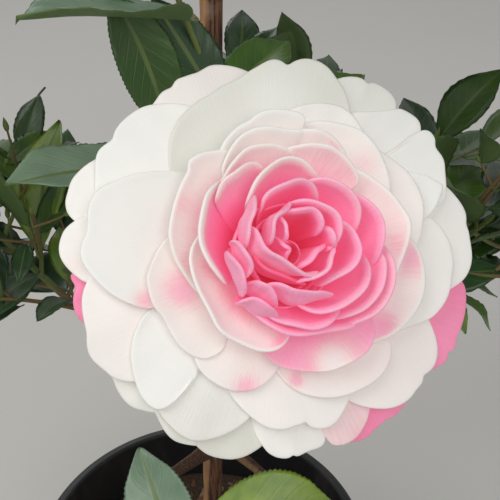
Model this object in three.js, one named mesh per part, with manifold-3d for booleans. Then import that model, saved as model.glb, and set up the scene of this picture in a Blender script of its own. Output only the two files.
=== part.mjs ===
// Camellia shrub in its nursery pot, in millimetres, +Z up.
// The origin is the middle of the pot's flat underside, and the open bloom faces -Y.
import * as THREE from 'three';
import { mergeVertices } from 'three/addons/utils/BufferGeometryUtils.js';
import Module from 'manifold-3d';

const wasm = await Module();
wasm.setup();

// Pot and potting mix
const POT_HEIGHT = 200;
const POT_BASE_RADIUS = 85;
const POT_RIM_RADIUS = 110;
const POT_WALL = 3;
const POT_FLOOR = 4;
const RIM_ROLL = 5;
const RIM_DEPTH = 11;
const POT_SEGMENTS = 36;
const MIX_TOP = 165;
const CLEARANCE = 0.3;
const SLIVER = 0.03;

// Trunk
const FOOT_X = 6.4;
const LEAN = 0.0215;
const TRUNK_TOP = 640;
const TRUNK_FOOT_RADIUS = 6.3;
const TRUNK_TOP_RADIUS = 5.2;
const FLARE_RADIUS = 5;
const FLARE_HEIGHT = 13;
const FLARE_LOBES = 5;
const TRUNK_SIDES = 10;
const TRUNK_STEP = 40;

// Boughs, twigs and leaves
const BOUGH_SIDES = 6;
const BOUGH_STATIONS = 4;
const BOUGH_TIP_RADIUS = 2.6;
const COLLAR = 1.45;
const STEM_SIDES = 4;
const STEM_RADIUS = 2.6;
const STEM_END_RADIUS = 2;
const TWIG_RADIUS = 1.35;
const TWIG_TIP_RADIUS = 0.9;
const TWIG_LEAST = 14;
const LEAF_ROOM = 42;
const LEAF_STEP = 13;
const LEAVES_PER_TWIG = 5;
const LEAF_TURN = THREE.MathUtils.degToRad(144);
const GOLDEN_TURN = THREE.MathUtils.degToRad(137.5);
const LEAF_LENGTH = [70, 94];
const LEAF_SIZES = [1, 0.84, 0.7];
const LEAF_WIDTH = 0.46;
const LEAF_THICKNESS = 1.3;
const LEAF_ROOT = 0.3;
const ROOT_HALF = 0.35;
const LEAF_FOLD = 0.09;
const LEAF_DROOP = 0.22;
const LEAF_SPACING = 18;
const CELL_MARGIN = 0.8;
const LIMB_MARGIN = 1.6;

// Bloom, on an axis that leaves its receptacle towards the open side
const RECEPTACLE = new THREE.Vector3(33.4, -175.9, 540.6);
const BLOOM_AXIS = new THREE.Vector3(0.3102, -0.7384, 0.5988).normalize();
const BLOOM_OUTER_RADIUS = 60;
const PETAL_THICKNESS = 1.1;
const PETAL_CLAW = 5;
const PETAL_ROUND = 0.22;
const RING_RUNS = [0, 0.5, 1];

// The open side, where no leaf stands round the bloom: a wedge that widens from one point, apart from
// the cone right behind the bloom. Behind the trunk it is only the wedge's low part.
const OPEN_POINT = new THREE.Vector3(32, -370, 671);
const OPEN_DROP = THREE.MathUtils.degToRad(33);
const OPEN_SPREAD = 0.3;
const OPEN_BACK = -0.1;
const BEHIND_BLOOM = { from: 250, right: 0.016, up: -0.012, spread: 0.21 };

// Each mass of foliage: where it lies round the trunk, its reach up and sideways, and where its bough starts
const MASSES = [
  { name: 'low_front_left', azimuth: 226, reach: 139, height: 304, spread: 90, rise: 62, bough: 288 },
  { name: 'low_front_right', azimuth: 314, reach: 136, height: 296, spread: 90, rise: 60, bough: 300 },
  { name: 'low_right', azimuth: 16, reach: 159, height: 420, spread: 98, rise: 94, bough: 338 },
  { name: 'low_back', azimuth: 73, reach: 164, height: 425, spread: 96, rise: 96, bough: 372 },
  { name: 'low_left', azimuth: 155, reach: 154, height: 412, spread: 98, rise: 92, bough: 322 },
  { name: 'mid_right', azimuth: 343, reach: 155, height: 608, spread: 98, rise: 98, bough: 582 },
  { name: 'mid_back_right', azimuth: 53, reach: 156, height: 618, spread: 96, rise: 98, bough: 566 },
  { name: 'mid_back_left', azimuth: 114, reach: 153, height: 606, spread: 96, rise: 98, bough: 596 },
  { name: 'mid_left', azimuth: 184, reach: 144, height: 606, spread: 98, rise: 96, bough: 574 },
  { name: 'upper_front', azimuth: 269, reach: 122, height: 722, spread: 94, rise: 80, bough: 608 },
  { name: 'top_left', azimuth: 168, reach: 90, height: 762, spread: 94, rise: 88, bough: 620 },
  { name: 'top_right', azimuth: 22, reach: 88, height: 768, spread: 94, rise: 88, bough: 630 },
  { name: 'top', azimuth: 260, reach: 16, height: 838, spread: 84, rise: 72, bough: TRUNK_TOP },
];

// Leaves that lie close round the bloom: root, tip, the way the upper side looks, and width
const BLOOM_LEAVES = [
  { root: [17, -116, 601], tip: [-27, -158, 604], face: [-0.05, 0.08, 1], width: 34 },
  { root: [-2, -140, 609], tip: [8, -127, 558], face: [0.28, -0.86, 0.42], width: 23 },
  { root: [-7, -108, 594], tip: [-32, -123, 596], face: [-0.1, -0.45, 0.85], width: 16 },
  { root: [22, -94, 552], tip: [-4, -83, 580], face: [-0.35, -0.75, 0.55], width: 16 },
  { root: [23, -107, 555], tip: [2, -96, 586], face: [0.6, -0.4, 0.7], width: 11 },
  { root: [2, -93, 531], tip: [-44, -136, 546], face: [-0.1, -0.2, 0.97], width: 33 },
  { root: [20, -100, 555], tip: [47, -60, 564], face: [-0.2, -0.7, 0.7], width: 20 },
  { root: [44, -102, 551], tip: [75, -65, 552], face: [-0.2, -0.7, 0.7], width: 19 },
];
const FRONT_LEAVES = {
  low_front_left: [{ root: [1, -108, 303], tip: [-26, -54, 343], face: [-0.05, -0.8, 0.6], width: 36 }],
  low_front_right: [{ root: [5, -84, 321], tip: [82, -75, 317], face: [0.02, -0.45, 0.9], width: 46 }],
};

// Rings of petals from the outside in: how high the tips rise, and each petal's turn, reach and half width
const RINGS = [
  {
    rise: 8, lift: 15, claw: 1, belly: 0.62, steps: 44,
    petals: [
      [8, 62, 18], [33, 61, 15], [54, 58, 14], [88, 53, 24], [120, 53, 17], [150, 54, 17], [180, 53, 18],
      [208, 50, 15], [232, 51, 18], [262, 53, 17], [288, 53, 15], [314, 55, 15], [342, 61, 17],
    ],
  },
  {
    rise: 16, lift: 19, claw: 2, belly: 0.66, steps: 30,
    petals: [
      [45, 46, 22], [100, 44, 22], [150, 46, 22], [200, 44, 22], [250, 42, 22], [300, 42, 22], [350, 44, 22],
    ],
  },
  {
    rise: 24, lift: 18, claw: 3, belly: 0.8, steps: 24,
    petals: [[10, 36, 20], [80, 36, 20], [150, 35, 20], [225, 34, 20], [300, 33, 20]],
  },
  {
    rise: 32, lift: 10, claw: 4, belly: 1, steps: 20,
    petals: [[60, 26, 15], [132, 27, 15], [204, 26, 15], [276, 25, 15], [348, 26, 15]],
  },
  {
    rise: 35, lift: 6, claw: 5, belly: 1.1, steps: 12,
    petals: [[0, 15, 10], [90, 15, 10], [180, 15, 10], [270, 15, 10]],
  },
];

const UP = new THREE.Vector3(0, 0, 1);

// The trunk's centre line at a height
function trunkAt(height) {
  return new THREE.Vector3(FOOT_X + LEAN * (height - MIX_TOP), 1.2 * Math.sin(height / 70), height);
}

// A repeatable stream of numbers from 0 to 1
function seededStream(seed) {
  let state = seed >>> 0;
  return () => {
    state = (state + 0x6d2b79f5) >>> 0;
    let mixed = Math.imul(state ^ (state >>> 15), 1 | state);
    mixed = (mixed + Math.imul(mixed ^ (mixed >>> 7), 61 | mixed)) ^ mixed;
    return ((mixed ^ (mixed >>> 14)) >>> 0) / 4294967296;
  };
}

// Solids
function solidOf(geometry) {
  const bare = new THREE.BufferGeometry();
  bare.setAttribute('position', geometry.getAttribute('position'));
  bare.setIndex(geometry.getIndex());
  const merged = mergeVertices(bare, 1e-4);
  const vertProperties = Float32Array.from(merged.getAttribute('position').array);
  const triVerts = Uint32Array.from(merged.getIndex().array);
  return new wasm.Manifold(new wasm.Mesh({ numProp: 3, vertProperties, triVerts }));
}

function geometryOf(solid) {
  const mesh = solid.getMesh();
  const geometry = new THREE.BufferGeometry();
  geometry.setAttribute('position', new THREE.BufferAttribute(mesh.vertProperties, 3));
  geometry.setIndex(new THREE.BufferAttribute(mesh.triVerts, 1));
  return geometry;
}

// The largest closed body of a solid: sealed hollows turn solid and loose scraps go
function mainBody(solid) {
  const bodies = solid.decompose().sort((a, b) => b.volume() - a.volume());
  return bodies[0];
}

function fuse(solids) {
  return mainBody(wasm.Manifold.union(solids).simplify(SLIVER));
}

function meshSolid(vertices, faces) {
  const geometry = new THREE.BufferGeometry();
  const numbers = vertices.flatMap((vertex) => vertex.toArray());
  geometry.setAttribute('position', new THREE.Float32BufferAttribute(numbers, 3));
  geometry.setIndex(faces.flat());
  return solidOf(geometry);
}

// A limb through a list of stations, each with its centre and radius. Level rings give flat cuts.
function limbSolid(stations, sides, { level = false, lobe = () => 1 } = {}) {
  const vertices = [];
  const faces = [];
  stations.forEach(({ centre, radius }, index) => {
    const before = stations[Math.max(index - 1, 0)].centre;
    const after = stations[Math.min(index + 1, stations.length - 1)].centre;
    const along = level ? UP.clone() : after.clone().sub(before).normalize();
    const [across, over] = squareTo(along);
    for (let side = 0; side < sides; side += 1) {
      const turn = (2 * Math.PI * side) / sides;
      const reach = radius * lobe(turn, centre.z);
      vertices.push(centre.clone()
        .addScaledVector(across, reach * Math.cos(turn))
        .addScaledVector(over, reach * Math.sin(turn)));
    }
  });
  for (let ring = 0; ring + 1 < stations.length; ring += 1) {
    for (let side = 0; side < sides; side += 1) {
      const next = (side + 1) % sides;
      const low = ring * sides;
      const high = low + sides;
      faces.push([low + side, low + next, high + next], [low + side, high + next, high + side]);
    }
  }
  const last = (stations.length - 1) * sides;
  for (let side = 1; side + 1 < sides; side += 1) {
    faces.push([0, side + 1, side], [last, last + side, last + side + 1]);
  }
  return meshSolid(vertices, faces);
}

// Two directions square to a third and to each other
function squareTo(along) {
  const guide = Math.abs(along.z) > 0.9 ? new THREE.Vector3(1, 0, 0) : UP;
  const over = guide.clone().addScaledVector(along, -guide.dot(along)).normalize();
  const across = over.clone().cross(along).normalize();
  return [across, over];
}

// Pot and potting mix
function lathe(profile) {
  const points = profile.map(([radius, height]) => new THREE.Vector2(radius, height));
  return new THREE.LatheGeometry(points, POT_SEGMENTS).rotateX(Math.PI / 2);
}

function wallRadius(height) {
  const share = height / POT_HEIGHT;
  return THREE.MathUtils.lerp(POT_BASE_RADIUS, POT_RIM_RADIUS - RIM_ROLL, share);
}

function potGeometry() {
  const rimFoot = POT_HEIGHT - RIM_DEPTH;
  return lathe([
    [0, 0],
    [POT_BASE_RADIUS - 2, 0],
    [POT_BASE_RADIUS, 2],
    [wallRadius(rimFoot), rimFoot],
    [POT_RIM_RADIUS - 1, rimFoot],
    [POT_RIM_RADIUS, rimFoot + 3],
    [POT_RIM_RADIUS, POT_HEIGHT - 3],
    [POT_RIM_RADIUS - 2, POT_HEIGHT],
    [wallRadius(POT_HEIGHT) - POT_WALL + 1, POT_HEIGHT],
    [wallRadius(POT_HEIGHT) - POT_WALL, POT_HEIGHT - 2],
    [wallRadius(POT_FLOOR) - POT_WALL, POT_FLOOR],
    [0, POT_FLOOR],
  ]);
}

function mixGeometry() {
  const foot = POT_FLOOR + CLEARANCE;
  const edge = (height) => wallRadius(height) - POT_WALL - CLEARANCE;
  return lathe([
    [0, foot],
    [edge(foot), foot],
    [edge(MIX_TOP - 6), MIX_TOP - 6],
    [84, MIX_TOP - 4],
    [30, MIX_TOP],
    [0, MIX_TOP],
  ]);
}

// Trunk and boughs
function trunkRadius(height) {
  const share = (height - MIX_TOP) / (TRUNK_TOP - MIX_TOP);
  return THREE.MathUtils.lerp(TRUNK_FOOT_RADIUS, TRUNK_TOP_RADIUS, share);
}

function trunkSolid(extra) {
  const foot = MIX_TOP + CLEARANCE - extra;
  const flareHeights = [0, 4, 9, 16, 26, 40].map((height) => foot + height);
  const heights = [...flareHeights];
  for (let height = MIX_TOP + 60; height < TRUNK_TOP - TRUNK_STEP / 2; height += TRUNK_STEP) {
    heights.push(height);
  }
  heights.push(TRUNK_TOP - CLEARANCE + extra);
  const stations = heights.map((height) => {
    const flare = FLARE_RADIUS * Math.exp(-(height - MIX_TOP) / FLARE_HEIGHT);
    return { centre: trunkAt(height), radius: trunkRadius(height) + flare + extra };
  });
  const lobe = (turn, height) => {
    const depth = 0.13 * Math.exp(-(height - MIX_TOP) / FLARE_HEIGHT);
    return 1 + depth * Math.cos(FLARE_LOBES * turn);
  };
  return limbSolid(stations, TRUNK_SIDES, { level: true, lobe });
}

// The way from the trunk into a mass: its bough takes the first part and its stem the rest
function routeOf(mass) {
  const start = trunkAt(mass.bough);
  const end = mass.centre;
  const bend = start.clone().lerp(end, 0.5);
  bend.z = THREE.MathUtils.lerp(start.z, end.z, 0.28);
  return new THREE.QuadraticBezierCurve3(start, bend, end);
}

function boughRadius(mass, share) {
  const foot = Math.min(5.2, 3.2 + mass.reach * 0.011);
  const collar = 1 + (COLLAR - 1) * Math.exp(-share * 9);
  return THREE.MathUtils.lerp(foot, BOUGH_TIP_RADIUS, share) * collar;
}

function boughStations(mass) {
  const stations = [];
  for (let index = 0; index <= BOUGH_STATIONS; index += 1) {
    const share = index / BOUGH_STATIONS;
    stations.push({
      centre: mass.route.getPoint(share * mass.entry),
      radius: boughRadius(mass, share),
    });
  }
  return stations;
}

// The share of the route where it enters the mass's own space for good
function entryOf(mass) {
  const steps = 100;
  let entry = 1;
  for (let index = steps; index > 0; index -= 1) {
    if (!inOwnCell(mass.route.getPoint(index / steps), mass)) break;
    entry = index / steps;
  }
  return Math.min(Math.max(entry, 0.3), 0.7);
}

// Spaces
function inOwnCell(point, mass) {
  const offset = point.clone().sub(mass.centre);
  const level = (offset.x ** 2 + offset.y ** 2) / mass.spread ** 2;
  if (level + offset.z ** 2 / mass.rise ** 2 > 1) return false;
  return MASSES.every((other) => {
    if (other === mass) return true;
    const towards = other.centre.clone().sub(mass.centre);
    const distance = towards.length();
    return offset.dot(towards) / distance < distance / 2 - CELL_MARGIN;
  });
}

// Whether a point lies in the open side, seen from the point that it widens from
function inOpenSide(point) {
  const offset = point.clone().sub(OPEN_POINT);
  const ahead = offset.y * Math.cos(OPEN_DROP) - offset.z * Math.sin(OPEN_DROP);
  const above = offset.y * Math.sin(OPEN_DROP) + offset.z * Math.cos(OPEN_DROP);
  const right = offset.x / ahead;
  const up = above / ahead;
  if (ahead < 0 || Math.abs(right) > OPEN_SPREAD || Math.abs(up) > OPEN_SPREAD) return false;
  const { from, spread } = BEHIND_BLOOM;
  if (ahead > from && Math.hypot(right - BEHIND_BLOOM.right, up - BEHIND_BLOOM.up) < spread) return false;
  return point.y < 0 || up < OPEN_BACK;
}

function nearBloom(point) {
  return point.distanceTo(RECEPTACLE) < BLOOM_OUTER_RADIUS;
}

function distanceToSegment(point, from, to) {
  const line = new THREE.Line3(from, to);
  return line.closestPointToPoint(point, true, new THREE.Vector3()).distanceTo(point);
}

function clearOfLimbs(point) {
  return LIMBS.every((stations) => {
    for (let index = 0; index + 1 < stations.length; index += 1) {
      const { centre, radius } = stations[index];
      const next = stations[index + 1];
      const keep = Math.max(radius, next.radius) + LIMB_MARGIN;
      if (distanceToSegment(point, centre, next.centre) < keep) return false;
    }
    return true;
  });
}

function fits(point, mass) {
  return inOwnCell(point, mass) && !inOpenSide(point) && !nearBloom(point) && clearOfLimbs(point);
}

// Leaves
function leafFrame({ along, face }) {
  const across = along.clone().cross(face).normalize();
  return { across, up: across.clone().cross(along).normalize() };
}

function leafOutline({ root, along, face, length, width }) {
  const { across, up } = leafFrame({ along, face });
  const at = (reach, side, height) => root.clone()
    .addScaledVector(along, reach * length)
    .addScaledVector(across, (side * width) / 2)
    .addScaledVector(up, height);
  return { at, fold: LEAF_FOLD * length };
}

function leafPoints(leaf) {
  const { at, fold } = leafOutline(leaf);
  return [
    at(0.2, 0, 0), at(0.5, 0, -fold), at(0.8, 0, -fold / 2), at(1, 0, 0),
    at(0.33, 0.94, 0), at(0.33, -0.94, 0), at(0.68, 0.86, 0), at(0.68, -0.86, 0),
    at(0.5, 0.5, 0), at(0.5, -0.5, 0), at(0.84, 0.4, 0), at(0.84, -0.4, 0),
  ];
}

// Whether an edge or the midrib of one leaf passes through another's blade
function pierces(leaf, other) {
  const { at } = leafOutline(leaf);
  const rim = [at(0.04, 0, 0), at(0.33, 0.94, 0), at(0.68, 0.86, 0), at(1, 0, 0), at(0.68, -0.86, 0),
    at(0.33, -0.94, 0), at(0.04, 0, 0), at(1, 0, 0)];
  const blade = leafFrame(other);
  const seen = rim.map((point) => {
    const offset = point.sub(other.root);
    return new THREE.Vector3(offset.dot(other.along), offset.dot(blade.across), offset.dot(blade.up));
  });
  for (let index = 0; index + 1 < seen.length; index += 1) {
    const from = seen[index];
    const to = seen[index + 1];
    if (from.z * to.z > 0 || from.z === to.z) continue;
    const cut = from.clone().lerp(to, from.z / (from.z - to.z));
    if (Math.hypot(cut.x / other.length - 0.5, cut.y / other.width) < 0.5) return true;
  }
  return false;
}

// A thin pointed blade, folded down along its midrib, with an upright root edge sunk past the twig's middle
function leafSolid(leaf) {
  const { at, fold } = leafOutline(leaf);
  const half = LEAF_THICKNESS / 2;
  const root = -LEAF_ROOT / leaf.length;
  const vertices = [
    at(root, 0, ROOT_HALF),
    at(0.33, -0.94, 0),
    at(0.68, -0.86, 0),
    at(1, 0, 0),
    at(0.68, 0.86, 0),
    at(0.33, 0.94, 0),
    at(root, 0, -ROOT_HALF),
    at(0.45, 0, half - fold),
    at(0.45, 0, -half - fold),
  ];
  const [under, top, bottom] = [6, 7, 8];
  const rim = [1, 2, 3, 4, 5];
  const faces = [[1, 0, top], [0, rim.at(-1), top], [under, 1, bottom], [rim.at(-1), under, bottom],
    [under, 0, 1], [rim.at(-1), 0, under]];
  for (let index = 0; index + 1 < rim.length; index += 1) {
    faces.push([rim[index + 1], rim[index], top], [rim[index], rim[index + 1], bottom]);
  }
  return meshSolid(vertices, faces);
}

function leafFrom(root, tip, face, width) {
  const reach = new THREE.Vector3(...tip).sub(new THREE.Vector3(...root));
  return {
    root: new THREE.Vector3(...root),
    along: reach.clone().normalize(),
    face: new THREE.Vector3(...face),
    length: reach.length(),
    width,
  };
}

// The rule by which a mass grows: a stem, twigs turned by the golden angle, and leaves towards their tips
function growMass(mass, seed) {
  const next = seededStream(seed);
  const leaves = [];
  const twigs = [];
  const stem = stemStations(mass);

  const tryLeaf = (root, along, length) => {
    const face = UP.clone().addScaledVector(along, 0.3)
      .add(new THREE.Vector3(next() - 0.5, next() - 0.5, 0).multiplyScalar(0.7));
    if (Math.abs(along.z) > 0.85) face.addScaledVector(outwards(mass), 1.5);
    for (const size of LEAF_SIZES) {
      const leaf = { root, along, face, length: length * size, width: length * size * LEAF_WIDTH };
      const middle = root.clone().addScaledVector(along, leaf.length / 2);
      const apart = leaves.every((other) => other.middle.distanceTo(middle) > LEAF_SPACING
        && !pierces(leaf, other) && !pierces(other, leaf));
      if (apart && leafPoints(leaf).every((point) => fits(point, mass))) {
        leaves.push({ ...leaf, middle });
        return;
      }
    }
  };

  const growLeaves = (from, along, length, most) => {
    const [across, over] = squareTo(along);
    const phase = next() * 2 * Math.PI;
    for (let index = 0; index < most && index * LEAF_STEP < length; index += 1) {
      const turn = phase + index * LEAF_TURN;
      const lean = THREE.MathUtils.degToRad(26 + 9 * index);
      const direction = along.clone().multiplyScalar(Math.cos(lean))
        .addScaledVector(across, Math.sin(lean) * Math.cos(turn))
        .addScaledVector(over, Math.sin(lean) * Math.sin(turn));
      direction.z -= LEAF_DROOP;
      const root = from.clone().addScaledVector(along, length - index * LEAF_STEP - 1.5);
      tryLeaf(root, direction.normalize(), THREE.MathUtils.lerp(...LEAF_LENGTH, next()));
    }
  };

  for (let index = 0; index < mass.twigs; index += 1) {
    const share = 0.12 + (0.86 * (index + 0.5)) / mass.twigs;
    const from = mass.route.getPoint(THREE.MathUtils.lerp(mass.entry, 1, share));
    const along = mass.route.getTangent(THREE.MathUtils.lerp(mass.entry, 1, share));
    const [across, over] = squareTo(along);
    const turn = index * GOLDEN_TURN + next() * 0.6;
    const lean = THREE.MathUtils.degToRad(44 + 30 * next());
    const direction = along.multiplyScalar(Math.cos(lean))
      .addScaledVector(across, Math.sin(lean) * Math.cos(turn))
      .addScaledVector(over, Math.sin(lean) * Math.sin(turn));
    direction.z += 0.12;
    direction.normalize();
    const length = roomAlong(from, direction, mass) - LEAF_ROOM;
    if (length < TWIG_LEAST) continue;
    twigs.push([
      { centre: from, radius: TWIG_RADIUS },
      { centre: from.clone().addScaledVector(direction, length), radius: TWIG_TIP_RADIUS },
    ]);
    growLeaves(from, direction, length, LEAVES_PER_TWIG);
  }
  const end = stem[stem.length - 1].centre;
  const along = mass.route.getTangent(1);
  growLeaves(end.clone().addScaledVector(along, -30), along, 30, 3);
  return { stem, twigs, leaves };
}

function outwards(mass) {
  const away = mass.centre.clone().sub(trunkAt(mass.centre.z));
  away.z = 0;
  return away.normalize();
}

// How far a twig can run before it would leave the space or touch a limb
function roomAlong(from, direction, mass) {
  const step = 4;
  let room = 0;
  while (fits(from.clone().addScaledVector(direction, room + step), mass)) room += step;
  return room;
}

function stemStations(mass) {
  const bough = mass.route.getPoint(mass.entry);
  const towards = mass.route.getTangent(mass.entry);
  const stations = [{ centre: bough.addScaledVector(towards, CLEARANCE + 0.1), radius: STEM_RADIUS }];
  for (const share of [0.35, 0.7, 1]) {
    stations.push({
      centre: mass.route.getPoint(THREE.MathUtils.lerp(mass.entry, 1, share)),
      radius: THREE.MathUtils.lerp(STEM_RADIUS, STEM_END_RADIUS, share),
    });
  }
  return stations;
}

// A single leaf with the twig that joins it to the nearest point of a stem
function leafWithTwig(row, stem) {
  const leaf = leafFrom(row.root, row.tip, row.face, row.width);
  const twig = [
    { centre: nearestOn(stem, leaf.root), radius: TWIG_RADIUS },
    { centre: leaf.root.clone().addScaledVector(leaf.along, 1), radius: TWIG_TIP_RADIUS },
  ];
  return [leafSolid(leaf), limbSolid(twig, 3)];
}

function nearestOn(stations, point) {
  let best = stations[0].centre;
  for (let index = 0; index + 1 < stations.length; index += 1) {
    const line = new THREE.Line3(stations[index].centre, stations[index + 1].centre);
    const near = line.closestPointToPoint(point, true, new THREE.Vector3());
    if (near.distanceTo(point) < best.distanceTo(point)) best = near;
  }
  return best;
}

function massSolid(mass, seed) {
  const { stem, twigs, leaves } = growMass(mass, seed);
  const front = (FRONT_LEAVES[mass.name] ?? []).flatMap((row) => leafWithTwig(row, stem));
  return fuse([
    limbSolid(stem, STEM_SIDES),
    ...twigs.map((twig) => limbSolid(twig, 3)),
    ...leaves.map(leafSolid),
    ...front,
  ]);
}

// Bloom
const BLOOM_RIGHT = new THREE.Vector3(1, 0, 0)
  .addScaledVector(BLOOM_AXIS, -BLOOM_AXIS.x)
  .normalize();
const BLOOM_TOP = BLOOM_AXIS.clone().cross(BLOOM_RIGHT);

function bloomPoint(x, y, z) {
  return RECEPTACLE.clone()
    .addScaledVector(BLOOM_RIGHT, x)
    .addScaledVector(BLOOM_TOP, y)
    .addScaledVector(BLOOM_AXIS, z);
}

// How far a ring of petals reaches at a turn: the furthest of the rounded petals that lie there
function ringReach(ring, turn) {
  const reaches = ring.petals.map(([middle, reach, half]) => {
    const apart = THREE.MathUtils.euclideanModulo(turn - middle + 180, 360) - 180;
    const side = Math.min(Math.abs(THREE.MathUtils.degToRad(apart) * reach) / half, 1);
    return reach * (1 - PETAL_ROUND * side ** 2.6);
  });
  return Math.max(...reaches);
}

function ringPoint(ring, turn, run, height) {
  const reach = ringReach(ring, turn);
  const back = (1 - run) ** 2;
  const middle = 2 * run * (1 - run);
  const out = back * PETAL_CLAW + middle * reach * ring.belly + run * run * reach;
  const up = back * ring.claw + middle * ring.lift + run * run * ring.rise;
  const around = THREE.MathUtils.degToRad(turn);
  return bloomPoint(out * Math.cos(around), out * Math.sin(around), up + height);
}

// One ring of petals as a thin bowl with their scalloped outline, closed by its two ends
function ringSolid(ring) {
  const stations = [
    ...RING_RUNS.map((run) => [run, -PETAL_THICKNESS / 2]),
    ...[...RING_RUNS].reverse().map((run) => [run, PETAL_THICKNESS / 2]),
  ];
  const vertices = [];
  const faces = [];
  for (let step = 0; step < ring.steps; step += 1) {
    const turn = (360 * step) / ring.steps;
    for (const [run, height] of stations) vertices.push(ringPoint(ring, turn, run, height));
  }
  const columns = stations.length;
  for (let step = 0; step < ring.steps; step += 1) {
    for (let column = 0; column < columns; column += 1) {
      const a = step * columns + column;
      const b = step * columns + ((column + 1) % columns);
      const c = ((step + 1) % ring.steps) * columns + ((column + 1) % columns);
      const d = ((step + 1) % ring.steps) * columns + column;
      faces.push([a, c, b], [a, d, c]);
    }
  }
  return meshSolid(vertices, faces);
}

function bloomSolid() {
  const heart = limbSolid([
    { centre: bloomPoint(0, 0, -1), radius: 6 },
    { centre: bloomPoint(0, 0, 3), radius: 9 },
    { centre: bloomPoint(0, 0, 14), radius: 8 },
    { centre: bloomPoint(0, 0, 26), radius: 4 },
  ], 8);
  return fuse([heart, ...RINGS.map(ringSolid)]);
}

// The cup of bud scales behind the bloom
function calyxSolid() {
  return limbSolid([
    { centre: bloomPoint(0, 0, -9), radius: 3.4 },
    { centre: bloomPoint(0, 0, -6), radius: 6.4 },
    { centre: bloomPoint(0, 0, -1 - CLEARANCE), radius: 8.4 },
  ], 10);
}

// The shoot that carries the bloom, and the bough that it grows from
const SHOOT_END = bloomPoint(0, 0, -9 - CLEARANCE);
const SHOOT_ROUTE = new THREE.QuadraticBezierCurve3(
  trunkAt(436),
  new THREE.Vector3(14, -112, 470),
  SHOOT_END,
);
const SHOOT_ENTRY = 0.55;

function shootBoughStations() {
  const stations = [];
  for (let index = 0; index <= BOUGH_STATIONS; index += 1) {
    const share = index / BOUGH_STATIONS;
    const collar = 1 + (COLLAR - 1) * Math.exp(-share * 9);
    stations.push({
      centre: SHOOT_ROUTE.getPoint(share * SHOOT_ENTRY),
      radius: THREE.MathUtils.lerp(4.4, BOUGH_TIP_RADIUS, share) * collar,
    });
  }
  return stations;
}

function shootSolid() {
  const towards = SHOOT_ROUTE.getTangent(SHOOT_ENTRY);
  const stem = [0, 0.3, 0.6, 0.85, 1].map((share) => ({
    centre: SHOOT_ROUTE.getPoint(THREE.MathUtils.lerp(SHOOT_ENTRY, 1, share)),
    radius: THREE.MathUtils.lerp(STEM_RADIUS, 1.9, share),
  }));
  stem[0].centre.addScaledVector(towards, CLEARANCE + 0.1);
  const sprig = [
    { centre: stem[1].centre, radius: TWIG_RADIUS },
    { centre: new THREE.Vector3(20, -102, 560), radius: TWIG_RADIUS },
    { centre: new THREE.Vector3(8, -118, 604), radius: TWIG_TIP_RADIUS },
  ];
  return fuse([
    limbSolid(stem, STEM_SIDES),
    limbSolid(sprig, 3),
    ...BLOOM_LEAVES.flatMap((row) => leafWithTwig(row, sprig)),
  ]);
}

// Worked-out places
MASSES.forEach((mass) => {
  const around = THREE.MathUtils.degToRad(mass.azimuth);
  const middle = trunkAt(mass.height);
  mass.centre = new THREE.Vector3(
    middle.x + mass.reach * Math.cos(around),
    middle.y + mass.reach * Math.sin(around),
    mass.height,
  );
  mass.twigs = 8;
});
MASSES.forEach((mass) => {
  mass.route = routeOf(mass);
  mass.entry = entryOf(mass);
});
const TRUNK_LINE = [MIX_TOP, 260, 380, 500, TRUNK_TOP].map((height) => ({
  centre: trunkAt(height),
  radius: trunkRadius(height),
}));
const LIMBS = [TRUNK_LINE, ...MASSES.map(boughStations), shootBoughStations()];

// Assembly
const BARK = { color: 0x6b4426, roughness: 0.85 };
const FOLIAGE = { color: 0x2f4a24, roughness: 0.35 };
const PETAL = { color: 0xf6dfe1, roughness: 0.6 };

const shrub = new THREE.Group();

function addPart(name, geometry, look) {
  const mesh = new THREE.Mesh(geometry, new THREE.MeshStandardMaterial({ metalness: 0, ...look }));
  mesh.name = name;
  shrub.add(mesh);
}

addPart('pot', potGeometry(), { color: 0x17181a, roughness: 0.5 });
addPart('potting_mix', mixGeometry(), { color: 0x4a3524, roughness: 0.95 });
addPart('trunk', geometryOf(trunkSolid(0)), BARK);

const trunkRoom = trunkSolid(CLEARANCE);
MASSES.forEach((mass, index) => {
  const bough = mainBody(limbSolid(boughStations(mass), BOUGH_SIDES).subtract(trunkRoom));
  addPart(`bough_${mass.name}`, geometryOf(bough), BARK);
  addPart(`foliage_${mass.name}`, geometryOf(massSolid(mass, index + 11)), FOLIAGE);
});

const shootBough = mainBody(limbSolid(shootBoughStations(), BOUGH_SIDES).subtract(trunkRoom));
addPart('bough_bloom', geometryOf(shootBough), BARK);
addPart('foliage_bloom_shoot', geometryOf(shootSolid()), FOLIAGE);
addPart('calyx', geometryOf(calyxSolid()), { color: 0x6f8f3c, roughness: 0.6 });
addPart('bloom', geometryOf(bloomSolid()), PETAL);

export default shrub;
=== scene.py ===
import math

import bpy
import numpy as np
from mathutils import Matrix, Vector, noise


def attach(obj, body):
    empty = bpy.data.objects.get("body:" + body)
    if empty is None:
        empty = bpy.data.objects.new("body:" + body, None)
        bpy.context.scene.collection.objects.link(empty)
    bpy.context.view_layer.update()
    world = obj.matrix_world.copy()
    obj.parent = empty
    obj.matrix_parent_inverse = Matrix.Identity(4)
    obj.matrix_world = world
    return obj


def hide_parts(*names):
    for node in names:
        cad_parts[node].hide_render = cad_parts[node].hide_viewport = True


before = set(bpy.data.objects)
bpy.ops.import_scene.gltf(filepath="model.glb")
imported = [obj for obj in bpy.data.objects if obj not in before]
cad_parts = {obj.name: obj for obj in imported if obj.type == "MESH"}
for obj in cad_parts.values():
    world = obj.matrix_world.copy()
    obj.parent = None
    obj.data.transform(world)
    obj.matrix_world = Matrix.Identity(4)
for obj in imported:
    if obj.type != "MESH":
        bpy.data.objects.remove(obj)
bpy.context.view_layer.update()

MM = 0.001

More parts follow.
